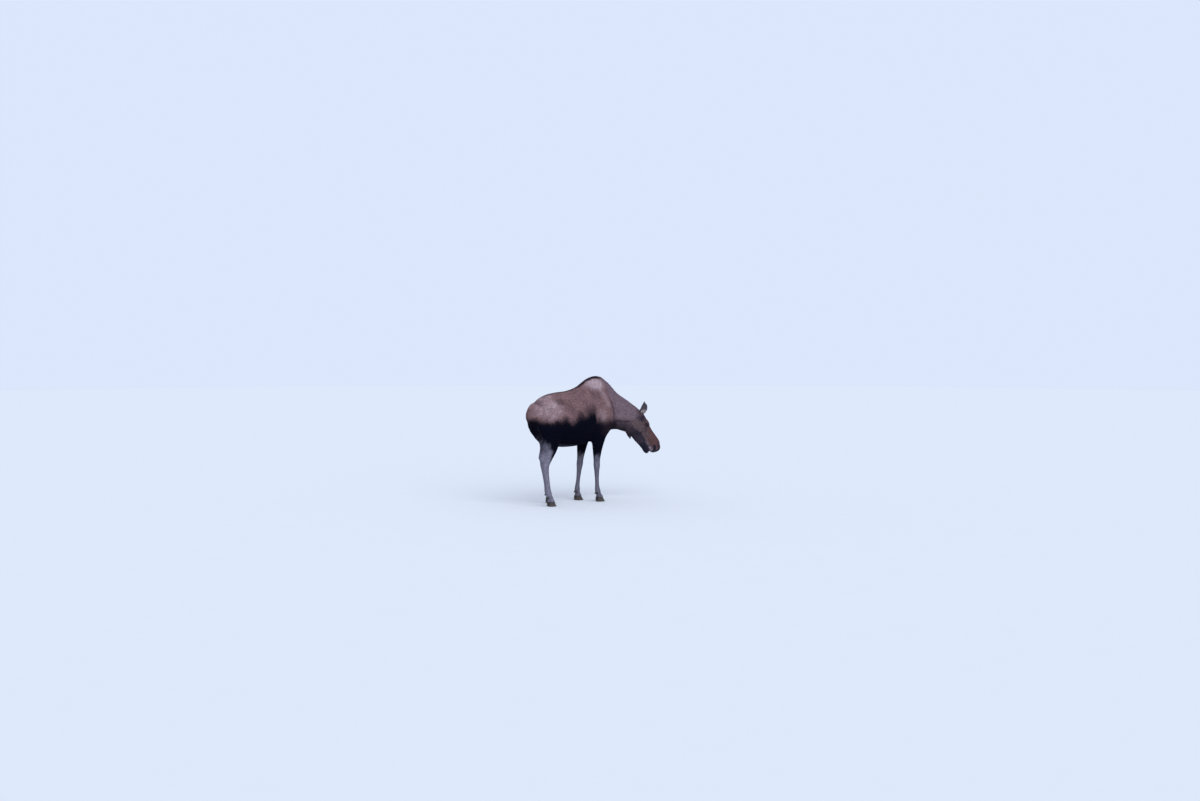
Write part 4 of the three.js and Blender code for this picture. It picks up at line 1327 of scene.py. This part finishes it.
coats = {}
free = np.ones(len(places), bool)
for seed, (name, (inside, slot)) in enumerate(REGIONS.items()):
    mine = inside & free
    free &= ~mine
    share = weights[mine].sum() / weights.sum()
    count = min(int(LOCK_BUDGET * share), MOST_IN_PIECE)
    roots, out = scattered(skin_points, skin_triangles[mine], weights[mine], count, seed)
    size = lock_size(roots)
    lift = coat_depth(roots)
    if name == "coat_trims":
        trims = (np.minimum(tail_mass(roots), bell_mass(roots)) < 4) & (roots[:, 2] < TAIL_TUFT_TOP)
        size = (np.where(trims, TRIM_HAIR, size[0]), size[1])
        way = np.where(trims[:, None], np.array([-0.15, 0, -1]), lie_of_coat(roots))
        lift = np.where(trims, TRIM_DEPTH, lift)
    else:
        way = lie_of_coat(roots)
    made = locks(roots, out, way, *size, lift, over_skin, seed)
    where = unrolled(roots, *axis_of(name, roots))
    coats[name] = (make_coat(name, *made, roots, where, np.zeros(count)), slot)

# ---- Ear hair: short on the back, longer and pale inside ------------------------------------------
for number, (ear_name, (points, faces, inner)) in enumerate(ears.items()):
    triangles = triangles_of(faces)
    ear_up = HEAD_AXES @ ear_axes(EARS[ear_name])[0]
    ear_front = HEAD_AXES @ ear_axes(EARS[ear_name])[1]
    lining = inner[triangles].min(axis=1) > 0
    spread = areas(points, triangles) * np.where(lining, 1.6, 1)
    roots, out = scattered(points, triangles, spread, EAR_LOCKS, 40 + number)
    root_share = up_ear(roots, EARS[ear_name])
    is_lining = (out @ ear_front) > 0.15
    length = np.where(is_lining, 24 - 8 * root_share, 15)
    lift = np.where(is_lining, 3.4, EAR_COAT)
    way = ear_up + 0.2 * ear_front * is_lining[:, None]
    made = locks(roots, out, way, length, np.where(is_lining, 2.6, 2.8), lift, FLAT, 50 + number)
    where = unrolled(roots, roots.min(axis=0), roots.max(axis=0))
    name = f"coat_ear_{ear_name}"
    coats[name] = (make_coat(name, *made, roots, where, ear_paleness(is_lining, root_share)), "ear_coat")

# ---- Hooves, dewclaws, eyes and lashes --------------------------------------------------------------
HOOF_RINGS = [(0, -45, 73, 27.4), (1.6, -46, 74, 28), (34, -49, 52, 29), (CORONET_HEIGHT - 0.2, -43, 33, 25)]
HOOF_SPREAD = 27.5
HOOF_SPLAY = 0.07
DEWCLAW_HEIGHT = 132
DEWCLAW_RINGS = [(0, 13), (12, 13.2), (22, 12), (31, 8.5), (37, 3.5)]
DEWCLAW_BACK = 20
DEWCLAW_ASIDE = 21
DEWCLAW_SIDES = 20
HOOF_LEVELS = [0, 1.6, 6, 12, 18, 24, 30, 36, 42, 48, 54, 60, 65, HOOF_RINGS[-1][0]]
HOOF_SIDES = 32


def hoof(name, foot_x, foot_y, toe):
    table = np.array(HOOF_RINGS)
    turn = oval(HOOF_SIDES)
    rings = []
    for z in HOOF_LEVELS:
        heel, tip, half_width = (np.interp(z, table[:, 0], table[:, k]) for k in (1, 2, 3))
        ahead = np.cos(turn)
        inner = np.where(np.sin(turn) * toe < 0, 0.86, 1)
        point = 1 - 0.38 * np.maximum(0, ahead) ** 2
        x = (heel + tip) / 2 + ahead * (tip - heel) / 2
        y = np.sin(turn) * half_width * inner * point
        splay = HOOF_SPLAY * toe
        rings.append(np.stack([foot_x + x * math.cos(splay) - y * math.sin(splay),
                               foot_y + toe * HOOF_SPREAD + x * math.sin(splay) + y * math.cos(splay),
                               np.full(HOOF_SIDES, z)], axis=1))
    return make_mesh(name, *lofted(rings))


def dewclaw(name, x, y, toe):
    turn = oval(DEWCLAW_SIDES)
    rings = [np.stack([radius * np.cos(turn), -radius * np.sin(turn), np.full(DEWCLAW_SIDES, -down)], axis=1)
             for down, radius in DEWCLAW_RINGS]
    points, faces = lofted(rings)
    tilted = Matrix.Rotation(0.95, 3, "Y") @ Matrix.Rotation(toe * -0.25, 3, "X")
    return make_mesh(name, points @ np.array(tilted).T + np.array([x, y, DEWCLAW_HEIGHT]), faces)


horn_pieces = []
for leg_name, rows, stance, side in LEGS:
    foot_x, foot_y, _ = leg_middle(rows, stance, side, CORONET_HEIGHT)
    heel_x, heel_y, _ = leg_middle(rows, stance, side, DEWCLAW_HEIGHT)
    for toe_name, toe in SIDES:
        node = f"{leg_name}_hoof_{toe_name}"
        horn_pieces.append((hoof(f"horn_{node}", foot_x, foot_y, toe), node))
        node = f"{leg_name}_dewclaw_{toe_name}"
        claw = dewclaw(f"horn_{node}", heel_x - DEWCLAW_BACK, heel_y + toe * DEWCLAW_ASIDE, toe)
        horn_pieces.append((claw, node))


def eyeball(name, side):
    """A smooth eye that looks along its own +X, its pupil level."""
    around, rings = 48, 32
    turn = oval(around)
    circles = []
    for a in np.linspace(0.01, math.pi - 0.01, rings):
        across, upward = math.sin(a) * np.cos(turn), math.sin(a) * np.sin(turn)
        circles.append(np.stack([np.full(around, math.cos(a)), across, upward], axis=1))
    mesh = mesh_of(name, *lofted([circle * EYE_RADIUS * TO_METRES for circle in circles]))
    smooth(mesh)
    eye = placed(name, mesh)
    look = HEAD_AXES @ unit((0.28, side, -0.08))
    level = unit(np.cross((0, 0, 1), look))
    eye.matrix_world = Matrix(np.vstack([np.column_stack([
        look, level, np.cross(look, level),
        (from_head(eye_centre(side)) + ORIGIN) * TO_METRES]), [0, 0, 0, 1]]))
    return eye


eyes = {name: eyeball(f"eyeball_{name}", side) for name, side in SIDES}


def lashes(side, seed):
    """Locks for the lashes of one upper lid."""
    chance = np.random.default_rng(seed)
    share = np.linspace(-0.75, 0.9, LASH_COUNT) + chance.normal(0, 0.01, LASH_COUNT)
    forward = share * OPENING_LENGTH
    up = OPENING_HEIGHT * (1 - share ** 2) + 1.2
    radius = LID_RADIUS + 0.6
    depth = np.sqrt(radius ** 2 - forward ** 2 - up ** 2)
    x = forward * math.cos(EYE_SLANT) + up * math.sin(EYE_SLANT)
    z = up * math.cos(EYE_SLANT) - forward * math.sin(EYE_SLANT)
    start = np.stack([x, depth, z], axis=1)
    way = np.stack([0.25 + 0.4 * share, 0.9 + 0 * share, 0.1 + 0 * share], axis=1)
    flip = np.array([1, side, 1])
    roots = from_head(eye_centre(side) + start * flip)
    up_way = np.tile(HEAD_AXES @ np.array([0.3, 0, 0.9]), (LASH_COUNT, 1))
    ahead = (way * flip) @ HEAD_AXES.T
    length, width, droop = (np.full(LASH_COUNT, value) for value in (LASH_LENGTH, LASH_WIDTH, LASH_DROOP))
    return locks(roots, up_way, ahead, length, width, droop, FLAT, seed), roots


for number, (name, side) in enumerate(SIDES):
    made, roots = lashes(side, 70 + number)
    where = unrolled(roots, roots.min(axis=0), roots.max(axis=0))
    piece = make_coat(f"lashes_{name}", *made, roots, where, np.zeros(LASH_COUNT))
    coats[f"lashes_{name}"] = (piece, "dark_coat")


# ---- One skin ----------------------------------------------------------------------------------------
def joined(forms):
    points, faces, total = [], [], 0
    for form_points, form_faces in forms:
        points.append(form_points)
        faces += [tuple(n + total for n in face) for face in form_faces]
        total += len(form_points)
    return np.vstack(points), faces


def streak_places(p):
    """Places squeezed along the lie of the coat, so that noise read there runs as streaks."""
    way = lie_of_coat(p)
    middle = np.array([100, 0, 1250])
    along = ((p - middle) * way).sum(axis=1)
    return (p - 0.86 * along[:, None] * way) * TO_METRES


ear_forms = [(points, faces) for points, faces, _ in ears.values()]
all_points, all_faces = joined([(skin_points, skin_faces), *ear_forms])
skin = make_mesh("skin", all_points, all_faces)
set_values(skin.data, "markings", coat_markings_and_shade(all_points))
set_values(skin.data, "face", face_markings_and_highlight(all_points))
set_values(skin.data, "streaks", streak_places(all_points))
lined = [ear_paleness(inner, up_ear(points, EARS[name])) for name, (points, _, inner) in ears.items()]
lined = np.concatenate([np.zeros(len(skin_points))] + lined)
whole_ear = np.concatenate([np.zeros(len(skin_points))] + [inner * 0 + 1 for _, _, inner in ears.values()])
set_values(skin.data, "ear", np.stack([lined, whole_ear, whole_ear * 0], axis=1))


# ---- Materials -----------------------------------------------------------------------------------------
TRUNK_BROWN = (0.181, 0.103, 0.106)
TRUNK_UMBER = (0.120, 0.069, 0.072)
NECK_BROWN = (0.137, 0.093, 0.110)
CHEEK_BROWN = (0.108, 0.072, 0.077)
# Pale hair, also the colour of the painted highlights on the hip bone and the thigh's ridge.
PALE_HAIR_AND_HIGHLIGHTS = (0.56, 0.44, 0.48)
LEG_GREY = (0.184, 0.170, 0.218)
# Black hair, also the colour of the painted shade in the creases and hollows.
BLACK_HAIR_AND_SHADE = (0.0010, 0.0012, 0.0055)
MUZZLE_BROWN = (0.098, 0.044, 0.042)
# Grey of the muzzle, also the colour of the painted highlight on its end.
MUZZLE_GREY_AND_HIGHLIGHT = (0.28, 0.230, 0.275)
FACE_BLACK = (0.017, 0.016, 0.030)
BARE_SKIN = (0.013, 0.012, 0.019)
EAR_BACK = (0.068, 0.053, 0.070)
EAR_LINING = (0.36, 0.30, 0.30)
HORN_DARK = (0.026, 0.020, 0.018)
HORN_PALE = (0.085, 0.066, 0.055)
EAR_SKIN = (0.40, 0.30, 0.27)
IRIS_BROWN = (0.020, 0.010, 0.006)
EYE_DARK = (0.012, 0.009, 0.009)         # round the iris
PUPIL_BLACK = (0.002, 0.002, 0.003)
WARMER = (1.06, 1.0, 0.93)
COOLER = (0.95, 1.0, 1.05)
IRIS_REACH = (0.0155, 0.0145)            # half length and half height
PUPIL_REACH = (0.0085, 0.0042)
FLOOR_PAINT = (0.70, 0.71, 0.715)
SKY = (0.714, 0.793, 0.972)
WINDOW_LIGHT = (0.86, 0.92, 1.0)


def rgba(colour):
    return (*colour, 1)


def add_node(tree, kind, values=None, **settings):
    made = tree.nodes.new(kind)
    for name, value in settings.items():
        setattr(made, name, value)
    for name, value in (values or {}).items():
        made.inputs[name].default_value = value
    return made


def new_group(name, inputs, outputs):
    tree = bpy.data.node_groups.new(name, "ShaderNodeTree")
    for way, sockets in (("INPUT", inputs), ("OUTPUT", outputs)):
        for socket, kind in sockets:
            tree.interface.new_socket(socket, in_out=way, socket_type=f"NodeSocket{kind}")
    return tree, tree.nodes.new("NodeGroupInput").outputs, tree.nodes.new("NodeGroupOutput").inputs


def mixed(tree, share, below, above, how="MIX"):
    """A node that lays one colour over another. Sockets or constant colours are taken."""
    made = add_node(tree, "ShaderNodeMix", data_type="RGBA", blend_type=how)
    for socket, value in ((made.inputs[0], share), (made.inputs[6], below), (made.inputs[7], above)):
        if isinstance(value, bpy.types.NodeSocket):
            tree.links.new(value, socket)
        elif isinstance(value, tuple):
            socket.default_value = rgba(value)
        else:
            socket.default_value = value
    return made.outputs[2]


def mapped(tree, value, low, high, new_low, new_high):
    made = add_node(tree, "ShaderNodeMapRange", {1: low, 2: high, 3: new_low, 4: new_high})
    tree.links.new(value, made.inputs[0])
    return made.outputs[0]


def dimmed(tree, colour, share):
    """A colour multiplied by a value."""
    grey = add_node(tree, "ShaderNodeCombineColor")
    for k in range(3):
        tree.links.new(share, grey.inputs[k])
    return mixed(tree, 1.0, colour, grey.outputs[0], "MULTIPLY")


def separated(tree, colour):
    made = add_node(tree, "ShaderNodeSeparateColor")
    tree.links.new(colour, made.inputs[0])
    return made.outputs


def object_place(tree):
    return add_node(tree, "ShaderNodeTexCoord").outputs["Object"]


def noise(tree, place, scale, detail=3.0, roughness=0.55):
    made = add_node(tree, "ShaderNodeTexNoise", {"Scale": scale, "Detail": detail, "Roughness": roughness})
    tree.links.new(place, made.inputs["Vector"])
    return made.outputs["Fac"]


def coat_colours_group():
    """The colours of the coat from its markings, mottled in the hair itself. The shares of black, pale and
    grey also carry painted shade and painted highlights.
    """
    sockets = [("Markings", "Color"), ("Region", "Float"), ("Face", "Color"), ("Bare", "Float"),
               ("Place", "Vector")]
    tree, given, result = new_group("Coat colours", sockets, [("Color", "Color")])
    black, pale, leg = separated(tree, given["Markings"])
    warm, grey, dark = separated(tree, given["Face"])
    broad = mapped(tree, noise(tree, given["Place"], 5.5), 0.35, 0.65, 0, 1)
    trunk = mixed(tree, broad, TRUNK_UMBER, TRUNK_BROWN)
    neck_part = mapped(tree, given["Region"], 0, 0.5, 0, 1)
    head_part = mapped(tree, given["Region"], 0.5, 1, 0, 1)
    colour = mixed(tree, neck_part, trunk, NECK_BROWN)
    colour = mixed(tree, head_part, colour, CHEEK_BROWN)
    for share, hair in ((pale, PALE_HAIR_AND_HIGHLIGHTS), (black, BLACK_HAIR_AND_SHADE), (leg, LEG_GREY),
                        (warm, MUZZLE_BROWN), (grey, MUZZLE_GREY_AND_HIGHLIGHT), (dark, FACE_BLACK)):
        colour = mixed(tree, share, colour, hair)
    fleck = mapped(tree, noise(tree, given["Place"], 34, 2.0), 0.3, 0.7, 0.78, 1.2)
    colour = dimmed(tree, colour, fleck)
    tree.links.new(mixed(tree, given["Bare"], colour, BARE_SKIN), result["Color"])
    return tree


def lock_shades_group():
    """Darker roots, paler tips, and locks that differ a little in depth and warmth."""
    tree, given, result = new_group(
        "Lock shades", [("Color", "Color"), ("Tuft", "Color")], [("Color", "Color")])
    shade, height, tint = separated(tree, given["Tuft"])
    along = mapped(tree, height, 0, 1, 0.8, 1.15)
    own = mapped(tree, shade, 0, 1, 0.82, 1.18)
    colour = dimmed(tree, dimmed(tree, given["Color"], along), own)
    warm = mixed(tree, 1.0, colour, WARMER, "MULTIPLY")
    cool = mixed(tree, 1.0, colour, COOLER, "MULTIPLY")
    tree.links.new(mixed(tree, tint, cool, warm), result["Color"])
    return tree


def hair_bump_group():
    """Fine streaks along the lie of the coat, as a normal and as a share of light."""
    sockets = [("Streaks", "Vector"), ("Depth", "Float")]
    tree, given, result = new_group("Hair streaks", sockets, [("Normal", "Vector"), ("Light", "Float")])
    fine = noise(tree, given["Streaks"], 420, 3.0, 0.6)
    broad = noise(tree, given["Streaks"], 120, 2.0, 0.5)
    both = add_node(tree, "ShaderNodeMath", operation="ADD")
    tree.links.new(fine, both.inputs[0])
    tree.links.new(broad, both.inputs[1])
    bump = add_node(tree, "ShaderNodeBump", {"Distance": 0.0025})
    tree.links.new(both.outputs[0], bump.inputs["Height"])
    tree.links.new(given["Depth"], bump.inputs["Strength"])
    tree.links.new(bump.outputs[0], result["Normal"])
    tree.links.new(mapped(tree, both.outputs[0], 0.7, 1.3, 0.6, 1.25), result["Light"])
    return tree


COAT_COLOURS = coat_colours_group()
LOCK_SHADES = lock_shades_group()
HAIR_STREAKS = hair_bump_group()


def new_material(name, values):
    material = bpy.data.materials.new(name)
    material.use_nodes = True
    tree = material.node_tree
    shader = tree.nodes["Principled BSDF"]
    for socket, value in values.items():
        shader.inputs[socket].default_value = value
    return material, tree, shader.inputs


def grouped(tree, group, **given):
    made = add_node(tree, "ShaderNodeGroup", node_tree=group)
    for name, value in given.items():
        if isinstance(value, bpy.types.NodeSocket):
            tree.links.new(value, made.inputs[name])
        else:
            made.inputs[name].default_value = value
    return made.outputs


def attribute(tree, name):
    return add_node(tree, "ShaderNodeAttribute", attribute_name=name).outputs


def marked_colour(tree, bare=None):
    marks = attribute(tree, "markings")
    face = attribute(tree, "face")
    place = object_place(tree)
    return grouped(tree, COAT_COLOURS, Markings=marks["Color"], Region=marks["Alpha"], Face=face["Color"],
                   Bare=face["Alpha"] if bare is None else bare, Place=place)["Color"]


def hair_material(name, values, colour_of):
    """The look of locks in a colour, each with its own shade, darker at the root and paler at the tip."""
    material, tree, shader = new_material(name, values)
    tuft = attribute(tree, "tuft")
    shaded = grouped(tree, LOCK_SHADES, Color=colour_of(tree, tuft), Tuft=tuft["Color"])
    tree.links.new(shaded["Color"], shader["Base Color"])
    return material


def skin_material():
    material, tree, shader = new_material("skin", {"Specular IOR Level": 0.12})
    face = attribute(tree, "face")
    ear = add_node(tree, "ShaderNodeSeparateXYZ")
    tree.links.new(attribute(tree, "ear")["Vector"], ear.inputs[0])
    streaks = attribute(tree, "streaks")["Vector"]
    depth = mapped(tree, face["Alpha"], 0, 1, 0.8, 0.15)
    hair = grouped(tree, HAIR_STREAKS, Streaks=streaks, Depth=depth)
    colour = marked_colour(tree)
    of_ear = mixed(tree, ear.outputs[0], EAR_BACK, EAR_SKIN)
    colour = mixed(tree, ear.outputs[1], colour, of_ear)
    # Painted light: the skin's colour is raised well above the coat's (the streaks' light times 1.8), so
    # that the shade in the gaps between the locks looks lighter.
    light = mapped(tree, hair["Light"], 0, 1, 0, 1.8)
    tree.links.new(dimmed(tree, colour, light), shader["Base Color"])
    tree.links.new(hair["Normal"], shader["Normal"])
    tree.links.new(mapped(tree, face["Alpha"], 0, 1, 0.7, 0.42), shader["Roughness"])
    return material


def horn_material():
    """Horn with growth rings, paler and worn towards the ground."""
    material, tree, shader = new_material("horn", {"Specular IOR Level": 0.4})
    place = object_place(tree)
    parts = add_node(tree, "ShaderNodeSeparateXYZ")
    tree.links.new(place, parts.inputs[0])
    level = add_node(tree, "ShaderNodeMapping", {"Scale": (3.0, 3.0, 34.0)})
    tree.links.new(place, level.inputs["Vector"])
    rings = noise(tree, level.outputs[0], 4.0, 3.0)
    upright_place = add_node(tree, "ShaderNodeMapping", {"Scale": (90.0, 90.0, 6.0)})
    tree.links.new(place, upright_place.inputs["Vector"])
    grain = noise(tree, upright_place.outputs[0], 3.0, 3.0)
    worn = mapped(tree, parts.outputs[2], 0.0, 0.05, 0.75, 0.1)
    colour = mixed(tree, worn, HORN_DARK, HORN_PALE)
    shade = mapped(tree, rings, 0.3, 0.7, 0.7, 1.3)
    tree.links.new(dimmed(tree, colour, shade), shader["Base Color"])
    both = add_node(tree, "ShaderNodeMath", operation="MULTIPLY_ADD", values={1: 0.5})
    tree.links.new(grain, both.inputs[0])
    tree.links.new(rings, both.inputs[2])
    bump = add_node(tree, "ShaderNodeBump", {"Distance": 0.0016, "Strength": 0.8})
    tree.links.new(both.outputs[0], bump.inputs["Height"])
    tree.links.new(bump.outputs[0], shader["Normal"])
    tree.links.new(mapped(tree, grain, 0.3, 0.7, 0.42, 0.6), shader["Roughness"])
    return material


def eye_material():
    """A dark brown iris with a level pupil, under a clear wet layer."""
    material, tree, shader = new_material(
        "eye", {"Roughness": 0.3, "Coat Weight": 0.22, "Coat Roughness": 0.04, "Specular IOR Level": 0.12})
    place = object_place(tree)

    def reach(half_length, half_height):
        squeezed = add_node(tree, "ShaderNodeMapping", {"Scale": (0.0, 1 / half_length, 1 / half_height)})
        tree.links.new(place, squeezed.inputs["Vector"])
        length = add_node(tree, "ShaderNodeVectorMath", operation="LENGTH")
        tree.links.new(squeezed.outputs[0], length.inputs[0])
        return length.outputs["Value"]
    fibres = mapped(tree, noise(tree, place, 700, 3.0), 0.3, 0.7, 0.6, 1.4)
    iris = dimmed(tree, IRIS_BROWN, fibres)
    colour = mixed(tree, mapped(tree, reach(*IRIS_REACH), 0.9, 1.02, 0, 1), iris, EYE_DARK)
    pupil = mapped(tree, reach(*PUPIL_REACH), 1.0, 0.86, 0, 1)
    tree.links.new(mixed(tree, pupil, colour, PUPIL_BLACK), shader["Base Color"])
    return material


def floor_material():
    material, tree, shader = new_material("pale floor", {"Roughness": 0.9, "Specular IOR Level": 0.0})
    place = object_place(tree)
    tone = mapped(tree, noise(tree, place, 3.0), 0, 1, 0.99, 1.01)
    tree.links.new(dimmed(tree, FLOOR_PAINT, tone), shader["Base Color"])
    return material


coat_look = hair_material("winter coat", {"Roughness": 0.7, "Specular IOR Level": 0.04},
                          lambda tree, tuft: marked_colour(tree, 0.0))
ear_look = hair_material("ear hair", {"Roughness": 0.6, "Specular IOR Level": 0.25},
                         lambda tree, tuft: mixed(tree, tuft["Alpha"], EAR_BACK, EAR_LINING))
lash_look = hair_material("lashes", {"Roughness": 0.4}, lambda tree, tuft: rgba(BLACK_HAIR_AND_SHADE))
for name, (piece, slot) in coats.items():
    look = lash_look if name.startswith("lashes") else ear_look if "ear" in name else coat_look
    piece.data.materials.append(look)
    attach(piece, "root")

skin.data.materials.append(skin_material())
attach(skin, "root")
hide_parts("trunk", "neck", "tail", "head", "bell", "ear_right", "ear_left",
            *[f"foreleg_{name}_{part}" for name, _ in SIDES for part in ("upper", "forearm", "cannon")],
            *[f"hindleg_{name}_{part}" for name, _ in SIDES for part in ("thigh", "gaskin", "cannon")])

horn_look = horn_material()
for piece, node in horn_pieces:
    piece.data.materials.append(horn_look)
    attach(piece, "root")
    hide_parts(node)

eye_look = eye_material()
for name, eye in eyes.items():
    eye.data.materials.append(eye_look)
    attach(eye, "root")
    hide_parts(f"eye_{name}")

# ---- Floor, light and camera ---------------------------------------------------------------------------
FLOOR_RADIUS = 60
FLOOR_SIDES = 96
edge = [(FLOOR_RADIUS * math.cos(turn), FLOOR_RADIUS * math.sin(turn)) for turn in oval(FLOOR_SIDES)]
floor = placed("floor", mesh_of("floor", *lofted([[(x, y, z) for x, y in edge] for z in (-0.02, 0.0)])))
floor.data.materials.append(floor_material())

world = bpy.data.worlds.new("soft room")
world.use_nodes = True
world.node_tree.nodes["Background"].inputs["Color"].default_value = rgba(SKY)
bpy.context.scene.world = world

sun = placed("window", bpy.data.lights.new("window", "SUN"))
sun.data.energy = 1.9
sun.data.color = WINDOW_LIGHT
sun.data.angle = math.radians(60)
sun.rotation_mode = "QUATERNION"
sun.rotation_quaternion = Vector((0.25, 0.95, -0.8)).to_track_quat("-Z", "Y")

VIEW_TURN = math.radians(40)
VIEW_DOWN = math.radians(2.3)
VIEW_AWAY = 16.7             # in metres, from the origin of the body's own frame
VIEW_ASIDE = 0.0615
VIEW_HEIGHT = 2.1
ahead = Vector((math.sin(VIEW_TURN), math.cos(VIEW_TURN), 0))
to_right = Vector((math.cos(VIEW_TURN), -math.sin(VIEW_TURN), 0))
camera = placed("camera", bpy.data.cameras.new("camera"))
camera.data.lens = 35
camera.data.sensor_width = 36
camera.location = Vector(ORIGIN * TO_METRES) - VIEW_AWAY * ahead + VIEW_ASIDE * to_right
camera.location += Vector((0, 0, VIEW_HEIGHT))
gaze = ahead * math.cos(VIEW_DOWN) - Vector((0, 0, math.sin(VIEW_DOWN)))
camera.rotation_mode = "QUATERNION"
camera.rotation_quaternion = gaze.to_track_quat("-Z", "Y")
camera.data.clip_end = 300
bpy.context.scene.camera = camera
bpy.context.scene.view_settings.view_transform = "Standard"
